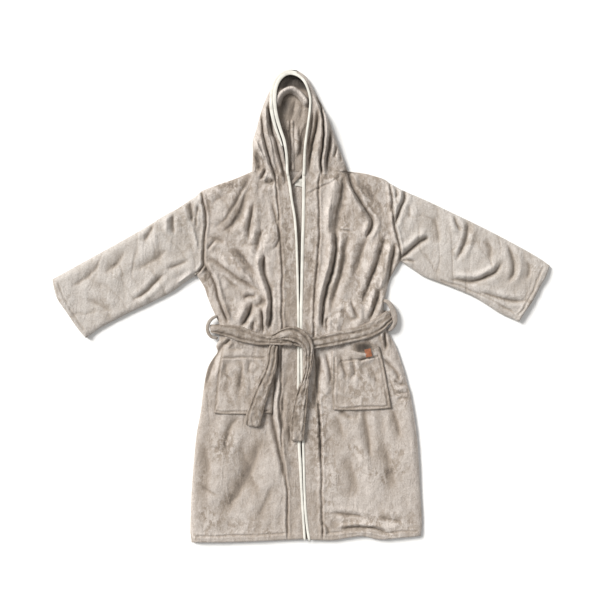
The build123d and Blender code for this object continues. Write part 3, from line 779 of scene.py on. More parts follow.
def fleece(name, colour, mottle=1.0, silk=0.30):
    """Coral fleece of one colour. mottle says how crushed its pile is, silk how glossy.

    Crushed pile looks browner and brushed pile greyer, so the colour turns with the shade, and it turns
    with the painted shade and highlight of the light attribute as well.
    """
    brown = [c * share for c, share in zip(colour, (1.0, 0.955, 0.90))]
    grey = [c * share for c, share in zip(colour, (0.99, 1.03, 1.08))]
    material, tree, shader, place = new_material(name, 0.58, 0.30, 0.35)
    shader.inputs["Specular IOR Level"].default_value = silk
    # painted shade and highlight, from each piece's light attribute
    light = node(tree, "ShaderNodeAttribute", attribute_name="light").outputs["Fac"]
    swathes = ramp(tree, noise_layer(tree, place, 0.15, 3, 0.5, (1, 0.6, 1)), 0.38, 0.64,
                   1 - 0.06 * mottle, 1 + 0.06 * mottle)
    stroked = noise_layer(tree, place, 0.034, 5, 0.62, (1, 0.34, 1), 0.5)
    handled = node(tree, "ShaderNodeAttribute", attribute_name="worn").outputs["Fac"]
    strokes = between(tree, handled, ramp(tree, stroked, 0.40, 0.60, 1 - 0.06 * mottle, 1 + 0.05 * mottle),
                      ramp(tree, stroked, 0.44, 0.56, 1 - 0.17 * mottle, 1 + 0.10 * mottle))
    crushed_pile_and_crease_shade = noise_layer(tree, place, 0.019, 5, 0.74, (1, 0.75, 1), 0.35)
    scattered = ramp(tree, noise_layer(tree, place, 0.085, 3, 0.6), 0.54, 0.68, 0.0, 0.7)
    crushed = node(tree, "ShaderNodeMath", operation="MAXIMUM")
    tree.links.new(scattered, crushed.inputs[0])
    tree.links.new(handled, crushed.inputs[1])
    flecks = between(tree, crushed.outputs[0],
                     ramp(tree, crushed_pile_and_crease_shade, 0.34, 0.62, 1 - 0.06 * mottle, 1 + 0.04 * mottle),
                     ramp(tree, crushed_pile_and_crease_shade, 0.44, 0.55, 1 - 0.42 * mottle, 1 + 0.16 * mottle))
    pile = noise_layer(tree, place, 0.0024, 2, 0.6)
    tufts = noise_layer(tree, place, 0.0055, 3, 0.75)
    tips = multiply(tree, ramp(tree, pile, 0.35, 0.65, 0.90, 1.06), ramp(tree, tufts, 0.35, 0.65, 0.90, 1.07))
    pattern = multiply(tree, multiply(tree, swathes, strokes), multiply(tree, flecks, tips))
    # the pile's pattern times the painted shade and highlight; darker places turn browner
    shade = multiply(tree, pattern, light)
    greying = ramp(tree, shade, 0.55, 1.12, 0.0, 1.0)
    dyed = blend_colours(tree, greying, tint(tree, brown, shade), tint(tree, grey, shade))
    tree.links.new(dyed, shader.inputs["Base Color"])
    raise_pile(tree, shader, [(stroked, 0.005), (crushed_pile_and_crease_shade, 0.0026), (tufts, 0.0012), (pile, 0.0007)])
    return material


body_fleece = fleece("body_fleece", (0.462, 0.401, 0.35))
sleeve_fleece = fleece("sleeve_fleece", (0.50, 0.448, 0.40), 0.8)
belt_fleece = fleece("belt_fleece", (0.36, 0.306, 0.26), 0.9)


# %% [markdown]
# The ivory edging is a satin binding folded round the cloth's edge. It is smooth and a little glossy, with
# a fine cross weave. The thread, the label and the leather tab have their own finishes.

# %% Ivory binding, thread, label and leather
def satin(name, colour, weave_size):
    """A close, smooth weave."""
    material, tree, shader, place = new_material(name, 0.5, 0.15)
    # painted shade from the light attribute, darker toward the strip's sides
    light = node(tree, "ShaderNodeAttribute", attribute_name="light").outputs["Fac"]
    cloudy = ramp(tree, noise_layer(tree, place, 0.02, 3), 0.35, 0.65, 0.93, 1.04)
    threads = noise_layer(tree, place, weave_size, 1, 0.5, (1, 0.3, 1))
    tree.links.new(tint(tree, colour, multiply(tree, cloudy, light)), shader.inputs["Base Color"])
    raise_pile(tree, shader, [(threads, 0.0004)])
    return material


ivory_binding = satin("ivory_binding", (0.72, 0.70, 0.64), 0.0016)
label_satin = satin("label_satin", (0.62, 0.60, 0.55), 0.0008)


def cotton(name, colour):
    """Twisted sewing thread."""
    material, tree, shader, place = new_material(name, 0.7, 0.1)
    twist = noise_layer(tree, place, 0.0008, 1)
    tree.links.new(tint(tree, colour, ramp(tree, twist, 0.3, 0.7, 0.85, 1.1)), shader.inputs["Base Color"])
    raise_pile(tree, shader, [(twist, 0.0002)])
    return material


thread_cotton = cotton("thread_cotton", (0.42, 0.36, 0.30))


def grain_leather(name, colour):
    """Dyed leather with a pebbled grain and paler, rubbed high spots."""
    material, tree, shader, place = new_material(name, 0.48, 0.0)
    shader.inputs["Specular IOR Level"].default_value = 0.45
    pores = node(tree, "ShaderNodeTexVoronoi", Scale=1.0, feature="DISTANCE_TO_EDGE")
    mapping = node(tree, "ShaderNodeMapping")
    mapping.inputs["Scale"].default_value = [1 / 0.0016] * 3
    tree.links.new(place, mapping.inputs["Vector"])
    tree.links.new(mapping.outputs["Vector"], pores.inputs["Vector"])
    cloudy = ramp(tree, noise_layer(tree, place, 0.008, 4), 0.35, 0.7, 0.78, 1.15)
    tree.links.new(tint(tree, colour, cloudy), shader.inputs["Base Color"])
    raise_pile(tree, shader, [(pores.outputs["Distance"], 0.0003)])
    return material


tab_leather = grain_leather("tab_leather", (0.31, 0.115, 0.055))
print("materials", len(bpy.data.materials))


def dress(piece, material, body, nodes=()):
    """Gives a piece its finish, the body it rides on and the CAD nodes it stands for."""
    piece.data.materials.append(material)
    if nodes:
        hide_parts(*nodes)
    if body:
        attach(piece, body)
    return piece


# %% [markdown]
# ## The back
# The back is one sheet from the neck to the hem. It lies on the floor, except over the belt, and its
# inside shows through the neck opening. Its rows run straight across from side seam to side seam.

# %% Make the back panel
right_boundary = np.vstack([right_side, right_armhole[1:], right_shoulder[1:]])
left_boundary = np.vstack([left_side, left_armhole[1:], left_shoulder[1:]])


def across_body(u, v, right_line, left_line, hem_line, top_y):
    """A place between two boundary lines, u across and v from the hem up to top_y."""
    y = mixed(-750, top_y, v)
    x = mixed(x_on(right_line, y), x_on(left_line, y), u)
    hem_y = np.interp(x, hem_line[:, 0], hem_line[:, 1])
    return x, mixed(hem_y, top_y, v)


whole_hem = np.vstack([right_hem, left_hem])
cloth_thickness = 4.0


def place_back(u, v):
    x, y = across_body(u, v, right_boundary, left_boundary, whole_hem, neck_y)
    # Painted shade on the back inside the neck opening: darker next to the front edges and lower down.
    gap = np.minimum(x - x_on(right_trim_line, y), x_on(left_trim_line, y) - x)
    neck_painted_shade = 0.70 + 0.28 * ease(gap / 12) * ease((y - 90) / 120)
    return x, y, cloth_under(x, y), np.where(gap > -12, neck_painted_shade, 1.0)


back = face_up(grid_piece("back_cloth", 110, 190, place_back), -1)
thicken(back, cloth_thickness)
dress(back, body_fleece, "robe", ["back_panel"])

# %% [markdown]
# ## The fronts and their bands
# Each front is cut from the side seam to the band seam, and a narrow band finishes its edge. The dense
# grid has a point every three millimetres or so, which is fine enough to hold the folds pressed into it.

# %% Make the fronts and the bands
gape_middle = (201, -131)      # painted shadow on the front behind the open mouth of the left pocket
gape_reach = (32, 17)
gape_shade = 0.82


def front_sheet(name, outer, inner, columns, rows=372, nap=1.0):
    """One sheet of the front. nap says how dark its pile lies."""
    def place(u, v):
        x, y = across_body(u, v, outer, inner, whole_hem, neck_y)
        lift, light = relief(x, y)
        # painted shadow of the pocket mouth on the front
        across = (x - gape_middle[0]) / gape_reach[0]
        along_mouth = (y - gape_middle[1]) / gape_reach[1]
        gape = 1 - gape_shade * np.exp(-across ** 4 - along_mouth ** 4)
        return x, y, cloth_top(x, y, lift=lift), nap * light * gape

    return thicken(face_up(grid_piece(name, columns, rows, place)), cloth_thickness)


right_front = front_sheet("right_front_cloth", right_boundary, right_band_seam, 98)
left_front = front_sheet("left_front_cloth", left_band_seam, left_boundary, 104)
right_band = front_sheet("right_band_cloth", right_band_seam, right_trim_line, 18, nap=0.89)
left_band = front_sheet("left_band_cloth", left_trim_line, left_band_seam, 18, nap=0.91)
for piece, cad_node in ((right_front, "right_front_panel"), (left_front, "left_front_panel"),
                        (right_band, "right_front_band"), (left_band, "left_front_band")):
    dress(piece, body_fleece, "robe", [cad_node])
print("front faces", len(right_front.data.polygons), len(left_front.data.polygons))

# %% [markdown]
# ## The sleeves
# A sleeve is a tube, folded flat along its top and sewn under the arm. Its grid goes round the tube: the
# upper layer from the fold to the underarm seam, then the lower layer back again.

# %% Make the sleeves
def between_edges(s, t, top, bottom, start, end):
    """A place on a patch with four curved edges: s from start to end, t from top to bottom."""
    up, down = along(top, s), along(bottom, s)
    near, far = along(start, t), along(end, t)
    corners = (mixed(top[0], top[-1], s[:, None]) * (1 - t[:, None])
               + mixed(bottom[0], bottom[-1], s[:, None]) * t[:, None])
    place = (mixed(up, down, t[:, None]) + mixed(near, far, s[:, None]) - corners)
    return place[:, 0], place[:, 1]


underarm_lift = 4.4      # the underarm corner is bunched, so the lower layer stands off the floor there
underarm_reach = 44.0


def sleeve_tube(name, top, bottom, start, end):
    """A sleeve, folded along top and sewn along bottom, from the armhole to the cuff."""
    def place(u, v):
        upper = v <= 0.5
        t = np.where(upper, 2 * v, 2 - 2 * v)
        x, y = between_edges(u, t, top, bottom, start, end)
        lift, light = relief(x, y)
        from_corner = np.hypot(x - bottom[0, 0], y - bottom[0, 1])
        tucked = underarm_lift * ease((underarm_reach - from_corner) / 14)
        z = np.where(upper, cloth_top(x, y, lift=lift), np.maximum(cloth_under(x, y), tucked))
        sewn = np.minimum(t, 1 - t) < 1e-4
        return x, y, np.where(sewn, edge_height, z), light

    tube = grid_piece(name, 150, 170, place, join=True)
    bm = bmesh.new()
    bm.from_mesh(tube.data)
    bmesh.ops.recalc_face_normals(bm, faces=bm.faces)
    bm.to_mesh(tube.data)
    bm.free()
    tube.data.polygons.foreach_set("use_smooth", np.ones(len(tube.data.polygons), bool))
    return thicken(face_out(tube), cloth_thickness)


right_sleeve = sleeve_tube("right_sleeve_cloth", right_sleeve_fold, right_underarm,
                           right_armhole[::-1], right_cuff)
left_sleeve = sleeve_tube("left_sleeve_cloth", left_sleeve_fold, left_underarm,
                          left_armhole[::-1], left_cuff)
for piece, cad_node, start, end in (
        (right_sleeve, "right_sleeve", (-0.300, 0.24, 0.01), (-0.372, 0.24, 0.01)),
        (left_sleeve, "left_sleeve", (0.290, 0.267, 0.01), (0.361, 0.276, 0.01))):
    dress(piece, sleeve_fleece, None, [cad_node])
    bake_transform(piece)

# %% [markdown]
# ## The hood
# Each half of the hood is one sheet: it starts at the face opening, goes out to the folded edge, turns
# under and comes back to the centre back seam. Seen from above, the lower part is the inside of the hood.

# %% Make the hood
centre_seam_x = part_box("hood_right_panel")[1][0] / mm
opening_right = smooth_line([
    (-49, 434), (-52, 470), (-58, 505), (-66, 532), (-78, 562), (-88, 596), (-95, 632), (-97, 662),
    (-94, 694), (-86, 718), (-72, 738), (-55, 750), (-37, 753)])
opening_left = smooth_line([
    (15, 434), (15, 494), (18, 524), (25, 564), (31, 604), (35, 640), (35, 660), (30, 690), (20, 714),
    (6, 732), (-10, 745), (-37, 753)])


def inner_light(x, y, lift, crushed_pile_and_crease_shade):
    """Painted shade inside the hood, darkest by its rim and under the crown, with a painted highlight on the
    arch.
    """
    rim = np.minimum(nearest([opening_right], x, y), nearest([opening_left], x, y))
    under_rim = 0.42 + 0.58 * ease(rim / 24)
    crown = 1 - 0.80 * ease((y - 684) / 24) * ease(1 - lift / 9)
    hollow_side = 1 - 0.74 * np.exp(-((x + 50) / 26) ** 2 - ((y - 644) / 40) ** 2) * ease(1 - lift / 8)
    lower = 1 - 0.28 * ease((x + 26) / -14) * ease((600 - y) / 40)
    arch = 1 + 0.03 * np.maximum(lift, 0)
    return 0.80 * under_rim * crown * hollow_side * lower * arch * np.exp(-0.7 * crushed_pile_and_crease_shade)


hood_turn = 0.45         # the share of the sheet that is its upper layer


def hood_half(name, opening, edge):
    """Half of the hood: from the face opening out to the folded edge, and back under to the centre seam."""
    seam = np.array([(centre_seam_x, neck_y), (centre_seam_x, 752.0)])

    def place(u, v):
        upper = v <= hood_turn
        rim, out, mid = along(opening, u), along(edge, u), along(seam, u)
        t_up, t_down = v / hood_turn, (v - hood_turn) / (1 - hood_turn)
        x = np.where(upper, mixed(rim[:, 0], out[:, 0], t_up), mixed(out[:, 0], mid[:, 0], t_down))
        y = np.where(upper, mixed(rim[:, 1], out[:, 1], t_up), mixed(out[:, 1], mid[:, 1], t_down))
        lift, light = relief(x, y)
        inner_lift, inner_crease_shade = press(hood_inner_folds, *wobble(x, y))
        inner_lift = np.maximum(inner_lift, -2.5)
        outer = cloth_top(x, y, lift=lift)
        inner = cloth_under(x, y) + inner_lift + 1.2 * (1 + smooth_noise(x, y, 24, 17))
        inner = np.clip(inner, 0.4, outer - 3)
        return (x, y, np.where(upper, outer, inner),
                np.where(upper, light, inner_light(x, y, inner_lift, inner_crease_shade)))

    return grid_piece(name, 118, 150, place)


right_hood = hood_half("right_hood_cloth", opening_right, hood_right_edge)
left_hood = hood_half("left_hood_cloth", opening_left, hood_left_edge)
for piece, cad_node in ((right_hood, "hood_right_panel"), (left_hood, "hood_left_panel")):
    thicken(face_out(piece), cloth_thickness)
    dress(piece, body_fleece, None, [cad_node])
    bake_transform(piece)


# %% [markdown]
# ## Straps
# The belt, the ivory trim and the loops are all strips. A strap follows a line over the robe with a given
# width at each point. Its cross section is a flattened tube with a slightly raised, sewn edge.

# %% A strap along a line
def strap(name, route, widths, thickness, columns=None, around=24, rim=0.0, ripple=0.0, seed=20, pleats=()):
    """A flat closed strip. route is a smooth run of (x, y, z) in millimetres, at mid thickness.

    Each pleat is a groove along it: where it starts and ends across the strip (-1 to 1), its width,
    and its depth in millimetres at the start and at the end.
    """
    route = np.asarray(route, float)
    steps = np.linalg.norm(np.diff(route, axis=0), axis=1)
    run = np.concatenate([[0], np.cumsum(steps)])
    columns = columns or int(run[-1] / 3.2)
    widths = np.asarray(widths, float)
    thick = np.broadcast_to(np.asarray(thickness, float), widths.shape)
    width_at = np.linspace(0, 1, len(widths))

    def place_at(distance):
        return np.stack([np.interp(distance, run, route[:, k]) for k in range(3)], axis=-1)

    def place(u, v):
        share = u * run[-1]
        centre = place_at(share)
        ahead = place_at(np.minimum(share + 4, run[-1]))
        behind = place_at(np.maximum(share - 4, 0))
        tangent = ahead - behind
        tangent /= np.linalg.norm(tangent, axis=1)[:, None]
        across = np.stack([-tangent[:, 1], tangent[:, 0], 0 * tangent[:, 0]], axis=-1)
        across /= np.maximum(np.linalg.norm(across, axis=1), 1e-6)[:, None]
        upward = np.cross(tangent, across)
        angle = 2 * np.pi * v
        half = 0.5 * np.interp(u, width_at, widths)
        deep = 0.5 * np.interp(u, width_at, thick)
        tip = np.minimum(share, run[-1] - share)
        deep = deep * (0.35 + 0.65 * roll(tip, 6))
        half = half * (0.68 + 0.32 * roll(tip, 13))
        s = np.sign(np.cos(angle)) * np.abs(np.cos(angle)) ** 0.75
        h = np.sign(np.sin(angle)) * np.abs(np.sin(angle)) ** 0.7
        edge = rim * (np.exp(-((np.abs(s) - 0.86) / 0.09) ** 2) - np.exp(-((np.abs(s) - 0.66) / 0.08) ** 2))
        folds = ripple * (smooth_noise(share * 1.0, s * half * 3.0, 14, seed)
                          + 0.6 * smooth_noise(share * 1.0, s * half * 2.0, 7, seed + 1))
        groove = 0 * s
        for start, end, pleat_width, first, last in pleats:
            middle = mixed(start, end, u) + 0.07 * smooth_noise(share, 0 * share, 31, seed + 3)
            groove = groove + mixed(first, last, u) * np.exp(-((s - middle) / pleat_width) ** 2)
        groove = np.where(h > 0, groove, 0)
        lift = h * (deep + edge + folds * (1 - s ** 4)) - groove
        shift = s * half * (1 + 0.04 * smooth_noise(share, 0 * share, 30, seed + 2))
        p = centre + across * shift[:, None] + upward * lift[:, None]
        # Painted shade in the strap's ripples, rim and pleats, and darker toward its sides where it turns
        # under.
        crease = light_in(2.4 * (folds * (1 - s ** 4) + edge), 0.30 * groove) if rim else 1.0
        return p[:, 0], p[:, 1], p[:, 2], crease * (1 - 0.30 * np.abs(s) ** 8)

    piece = grid_piece(name, columns, around, place, join=True)
    bm = bmesh.new()
    bm.from_mesh(piece.data)
    bmesh.ops.holes_fill(bm, edges=[e for e in bm.edges if e.is_boundary], sides=0)
    bmesh.ops.triangulate(bm, faces=[f for f in bm.faces if len(f.verts) > 4])
    bmesh.ops.recalc_face_normals(bm, faces=bm.faces)
    bm.to_mesh(piece.data)
    bm.free()
    piece.data.polygons.foreach_set("use_smooth", np.ones(len(piece.data.polygons), bool))
    piece.data.update()
    return piece


def laid_on(line, height, folded=True):
    """A line on the robe, lifted to lie on the cloth."""
    line = np.asarray(line, float)
    z = cloth_top(line[:, 0], line[:, 1], folded) + height
    kernel = np.ones(5) / 5
    padded_z = np.concatenate([z[:1]] * 2 + [z] + [z[-1:]] * 2)
    return np.column_stack([line[:, :2], np.convolve(padded_z, kernel, "valid")])


# %% [markdown]
# ## The ivory trim
# The binding runs down each front edge and round the face opening. It lies flat and is about eight
# millimetres wide, and wider round the top of the hood, where it is turned outwards.

# %% Make the trim
dense_right = along(right_trim_line, np.linspace(0, 1, 340))
dense_left = along(left_trim_line, np.linspace(0, 1, 340))
right_trim = strap("right_front_trim", laid_on(dense_right, -0.2), [8, 8, 10, 9, 8.5, 8, 8, 8, 8, 9], 4.5,
                   columns=330, around=14)
left_trim = strap("left_front_trim", laid_on(dense_left, -0.2), [9, 8, 8, 8, 9, 9, 9.5, 10, 10, 10], 4.5,
                  columns=330, around=14)
dress(right_trim, ivory_binding, "robe", ["right_front_piping"])
dress(left_trim, ivory_binding, "robe", ["left_front_piping"])

hood_trim_line = smooth_line([
    (-42, 420), (-44, 434), (-45, 470), (-48, 500), (-54, 530), (-64, 560), (-74, 592), (-81, 622),
    (-84, 655), (-82, 690), (-73, 718), (-58, 737), (-38, 746), (-15, 741), (5, 726), (18, 704), (27, 676),
    (30, 654), (28, 624), (23, 584), (16, 534), (12, 494), (10, 434), (9.6, 420)])
outer_trim_line = smooth_line([
    (-60, 512), (-70, 540), (-81, 570), (-89, 600), (-94, 630), (-95, 662), (-92, 692), (-84, 718),
    (-70, 738), (-52, 750), (-34, 753), (-12, 748)])
hood_trim = strap(
    "hood_trim", laid_on(along(hood_trim_line, np.linspace(0, 1, 260)), 2.2),
    [9, 9, 9, 10, 11, 12, 12, 12, 12, 11, 9, 8, 7.5, 7.5, 7.5, 8, 8, 9, 9], 5.0, columns=300, around=16)
outer_trim = strap(
    "hood_trim_turned", laid_on(along(outer_trim_line, np.linspace(0, 1, 160)), 1.0),
    [5, 8, 10, 11, 11, 11, 12, 12, 10, 6], 4.5, columns=150, around=16)
for piece in (hood_trim, outer_trim):
    dress(piece, ivory_binding, None, ["hood_piping"] if piece is hood_trim else [])
    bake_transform(piece)

# %% [markdown]
# ## The belt
# The belt is a long strip of the same fleece, sewn into a flat tube and turned. It goes round the waist
# through the two loops and is tied once in front. Here it is made of several pieces.

# %% Make the belt round the waist
def belt_route(points):
    return smooth_line(points, 10)


right_run = strap("belt_right_run", belt_route([
    (-283, -70, 4), (-286, -70, 10), (-285, -70, 18), (-278, -71, 24), (-262, -73, 26), (-240, -77, 25.5),
    (-205, -84, 25), (-165, -96, 25.5), (-130, -105, 27), (-95, -108, 30), (-60, -110, 31), (-25, -112, 30)]),
    [24, 28, 34, 42, 50, 48, 41, 37, 31, 27, 26, 28], 12, around=44, rim=0.5, ripple=2.2, seed=31,
    pleats=[(-0.62, -0.30, 0.13, 3.4, 2.6), (0.95, 0.02, 0.20, 1.0, 3.2)])
left_run = strap("belt_left_run", belt_route([
    (-60, -104, 25), (-20, -108, 27), (20, -116, 28), (50, -115, 28), (90, -107, 27), (130, -98, 26.5),
    (170, -89, 26), (210, -78, 26), (245, -60, 25.5), (268, -42, 24), (281, -32, 18), (284, -30, 10),
    (281, -30, 4)]),
    [24, 30, 34, 36, 38, 42, 44, 44, 46, 48, 48, 44, 38], 12, around=44, rim=0.5, ripple=2.3, seed=41,
    pleats=[(-0.35, -0.62, 0.13, 3.4, 2.8), (0.85, -0.05, 0.17, 3.6, 1.2)])
back_run = strap("belt_back_run", belt_route([
    (-283, -71, 3.1), (-240, -73, 3.0), (-100, -63, 3.0), (0, -54, 3.0), (120, -44, 3.0), (240, -36, 3.0),
    (282, -31, 3.1)]),
    [30, 44, 47, 47, 47, 46, 40], 5.2, columns=150, around=24, rim=0.4, ripple=0.1, seed=51)
dress(right_run, belt_fleece, "robe", ["belt_wrap"])
dress(left_run, belt_fleece, "robe")
dress(back_run, belt_fleece, "robe")

# %% Tie the knot
knot_wrap = strap("belt_knot_wrap", belt_route([
    (-98, -103, 27), (-80, -96, 32), (-55, -88, 36), (-30, -86, 38.5), (-6, -93, 40), (12, -108, 40),
    (21, -126, 37), (24, -142, 32), (24, -158, 29)]),
    [16, 24, 36, 45, 49, 46, 40, 34, 28], 14, around=48, rim=0.5, ripple=2.4, seed=61,
    pleats=[(-0.7, -0.35, 0.1, 1.0, 4.2), (0.75, 0.30, 0.13, 3.4, 4.0)])
dress(knot_wrap, belt_fleece, "robe", ["belt_knot"])

# %% Make the two belt ends
tail_z = 29.5
right_tail = strap("belt_right_end", belt_route([
    (-84, -122, 27), (-90, -140, tail_z), (-92, -170, tail_z + 1), (-97, -200, tail_z + 1),
    (-113, -240, tail_z + 1),
    (-128, -280, tail_z), (-141, -320, tail_z - 1), (-151, -355, tail_z - 3), (-156, -382, tail_z - 4)]),
    [30, 33, 34, 38, 44, 48, 50, 52, 50], 11.0, around=48, rim=0.4, ripple=2.3, seed=71,
    pleats=[(-0.45, -0.72, 0.12, 3.6, 2.0), (0.45, 0.05, 0.17, 3.4, 0.2), (0.9, 0.78, 0.07, 1.5, 1.5)])
left_tail = strap("belt_left_end", belt_route([
    (22, -120, 34), (25, -142, 31), (25, -170, tail_z + 1), (22, -200, tail_z), (14, -235, tail_z),
    (5, -270, tail_z),
    (-2, -310, tail_z - 1), (-8, -350, tail_z - 2), (-11, -390, tail_z - 3), (-12, -430, tail_z - 4)]),
    [32, 33, 25, 19, 31, 42, 47, 48, 46, 43], 11.0, around=48, rim=0.4, ripple=2.5, seed=81,
    pleats=[(-0.45, -0.75, 0.12, 4.2, 1.0), (0.25, 0.1, 0.13, 4.2, 0.2), (0.7, 0.80, 0.09, 3.0, 1.6)])
for piece, body, cad_node in ((right_tail, "right_belt_end", "belt_right_tail"),
                              (left_tail, "left_belt_end", "belt_left_tail")):
    dress(piece, belt_fleece, None, [cad_node])
    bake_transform(piece)

# %% Make the belt loops
right_loop = strap("right_belt_loop_cloth", belt_route([
    (-268, -30, 15), (-281, -36, 18), (-293, -48, 18), (-299, -66, 18), (-296, -84, 18), (-285, -97, 18),
    (-266, -101, 15)]), [9, 10, 11, 11, 11, 10, 9], 8, around=16, ripple=0.5, seed=91)
left_loop = strap("left_belt_loop_cloth", belt_route([
    (265, 20, 15), (278, 14, 18), (290, -2, 18), (298, -25, 18), (299, -48, 18), (292, -66, 18),
    (278, -77, 15)]),
    [12, 15, 18, 19, 18, 15, 12], 8, around=24, rim=0.3, ripple=0.8, seed=95)
dress(right_loop, belt_fleece, "right_loop", ["right_belt_loop"])
dress(left_loop, belt_fleece, "left_loop", ["left_belt_loop"])

# %% [markdown]
# ## The pockets
# A patch pocket is a square of fleece sewn to the front on three sides. It follows the folds of the front
# below it, a little softened, and stands up a few millimetres at its open mouth.

# %% Make the pockets
pocket_width, pocket_height = 190.0, 205.0
pocket_lift = 3.6        # the patch's outer side above the front below it, at its sewn edge
mouth_reach = 26.0


def pocket(name, mouth, bottom, left_edge, right_edge, gape, own_folds, cad_node, nap):
    """Edges run left to right and top to bottom. gape says how high the mouth stands at each share across.

    nap says how dark its pile lies.
    """
    def place(u, v):
        down = 1 - v
        x, y = between_edges(u, down, mouth, bottom, left_edge, right_edge)
        sewn = np.minimum(np.minimum(u, 1 - u) * pocket_width, v * pocket_height)
        at_mouth = np.exp(-(down * pocket_height / mouth_reach) ** 2)
        lift = pocket_lift + 3.2 * roll(sewn, 7)
        lift = lift + np.interp(u, np.linspace(0, 1, len(gape)), gape) * at_mouth * roll(sewn, 22)
        under, light = relief(x, y)
        soft = 0.45 * cloth_top(x, y, lift=under) + 0.55 * cloth_top(x, y, folded=False)
        own, crushed_pile_and_crease_shade = press(own_folds, *wobble(x, y))
        own = own + 1.3 * smooth_noise(x, 0.6 * y, 24, 11) + 0.6 * smooth_noise(x, 0.7 * y, 11, 12)
        # Painted shade along the sewn edges, and painted crease shade in the pocket's own folds.
        border = 1 - 0.45 * np.exp(-(sewn / 3.0) ** 2)
        return x, y, soft + lift + own, nap * light_in(own + 0.3 * under, crushed_pile_and_crease_shade) * border

    piece = thicken(face_up(grid_piece(name, 64, 68, place)), 3.2)
    return dress(piece, body_fleece, "robe", [cad_node])


right_pocket_folds = [
    fold([(-252, -150), (-262, -206), (-268, -300), (-270, -332), (-200, -334), (-98, -334)],
         2.4, 1.8, 0.4, 0.5, 0.03),
    fold([(-262, -164), (-180, -163), (-112, -163)], 2.4, 1.8, 0.3, 0.4, 0.03),
    fold([(-215, -168), (-192, -180), (-188, -215), (-196, -260), (-200, -300)], 8, 2.6),
    fold([(-158, -166), (-166, -200), (-150, -220)], 7, 2.4),
    fold([(-235, -170), (-240, -215), (-215, -235)], 8, 2.0),
    fold([(-240, -128), (-215, -134), (-180, -130)], 7, 2.5),
]
left_pocket_folds = [
    fold([(108, -156), (107, -246), (112, -318), (190, -322), (278, -317)], 2.4, 1.8, 0.5, 0.4, 0.03),
    fold([(246, -150), (256, -186), (268, -262), (278, -317)], 2.4, 1.4, 0.4, 0.4, 0.03),
    fold([(120, -180), (165, -170), (200, -168), (250, -158)], 2.4, 1.6, 0.3, 0.4, 0.05),
    fold([(122, -148), (132, -176), (140, -205), (146, -238)], 7, 3.5),
    fold([(165, -165), (190, -200), (212, -222), (226, -240)], 7, -2.8),
    fold([(150, -150), (168, -176), (172, -212), (152, -236)], 6, 3),
    fold([(180, -172), (205, -165), (226, -158)], 5, 3.5),
    fold([(222, -190), (236, -215), (242, -250)], 8, 2.5),
    fold([(136, -285), (165, -292), (190, -298)], 7, 1.8),
]
right_pocket = pocket(
    "right_pocket_cloth",
    smooth_line([(-251, -133), (-200, -135), (-150, -134), (-103, -133)]),
    smooth_line([(-279, -341), (-200, -344), (-92, -342)]),
    smooth_line([(-251, -133), (-265, -206), (-275, -306), (-279, -341)]),
    smooth_line([(-103, -133), (-90, -190), (-87, -246), (-92, -342)]),
    [0, 1, 2, 2, 1, 0], right_pocket_folds, "right_pocket", nap=0.98)
left_pocket = pocket(
    "left_pocket_cloth",
    smooth_line([(98, -142), (118, -138), (150, -136), (176, -143), (204, -148), (228, -140), (250, -127)]),
    smooth_line([(103, -331), (200, -331), (290, -325)]),
    smooth_line([(98, -142), (97, -246), (103, -331)]),
    smooth_line([(250, -127), (262, -176), (278, -262), (290, -325)]),
    [0, 1, 3, 7, 8, 6, 2, 0], left_pocket_folds, "left_pocket", nap=0.90)


# %% [markdown]
# ## Small parts
# The leather tab is a small blank strap sewn to the pocket's hem. The hanger loop is a rolled strip
# inside the back neck, and the label beside it is a blank piece of satin.

# %% Leather tab, hanger loop and label
def rounded_slab(name, centre, size, turn, height):
    """A slab with softened edges, turned about Z and set at its place in its mesh."""
    bm = bmesh.new()
    bmesh.ops.create_cube(bm, size=1)
    bmesh.ops.scale(bm, verts=bm.verts, vec=(size[0] * mm, size[1] * mm, size[2] * mm))
    bmesh.ops.subdivide_edges(bm, edges=bm.edges, cuts=3, use_grid_fill=True)
    sharp = [e for e in bm.edges if len(e.link_faces) == 2 and e.calc_face_angle() > 1.0]
    bmesh.ops.bevel(bm, geom=sharp, offset=0.6 * mm, segments=3, affect="EDGES", profile=0.5, material=-1)
    bmesh.ops.rotate(bm, verts=bm.verts, cent=(0, 0, 0), matrix=Matrix.Rotation(math.radians(turn), 3, "Z"))
    bmesh.ops.translate(bm, verts=bm.verts, vec=(centre[0] * mm, centre[1] * mm, height * mm))
    mesh = bpy.data.meshes.new(name)
    bm.to_mesh(mesh)
    bm.free()
    piece = bpy.data.objects.new(name, mesh)
    scene.collection.objects.link(piece)
    return keep_lie(piece)


tab_low, tab_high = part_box("leather_tab")
tab_centre = [(a + b) / 2 / mm for a, b in zip(tab_low, tab_high)]
tab_lift = float(cloth_top(np.array([tab_centre[0]]), np.array([tab_centre[1]]))[0])
tab = rounded_slab("leather_tab_strap", tab_centre, (20, 26, 2.2), 14, tab_lift + 14.5)
dress(tab, tab_leather, "robe", ["leather_tab"])

hanger = strap("hanger_loop_strip", belt_route([
    (6, 438, 8), (-4, 424, 9), (-16, 410, 9.5), (-27, 399, 9), (-36, 395, 8.5), (-46, 400, 8.5),
    (-58, 415, 8.5), (-72, 432, 8.5)]), [13, 13, 13, 12, 12, 12, 12, 12], 5, around=18, ripple=0.5, seed=101)
dress(hanger, belt_fleece, "robe", ["hanger_loop"])


def place_label(u, v):
    x = mixed(-20, 6, u) + 2 * v
    y = mixed(386, 412, v) + 1.5 * np.sin(u * 5)
    return x, y, 6.6 + 1.2 * np.sin(v * 9 + u * 2) + 0.5 * smooth_noise(x, y, 8, 13)


label = thicken(face_up(grid_piece("neck_label_satin", 16, 16, place_label)), 0.5)
dress(label, label_satin, "robe", ["neck_label"])

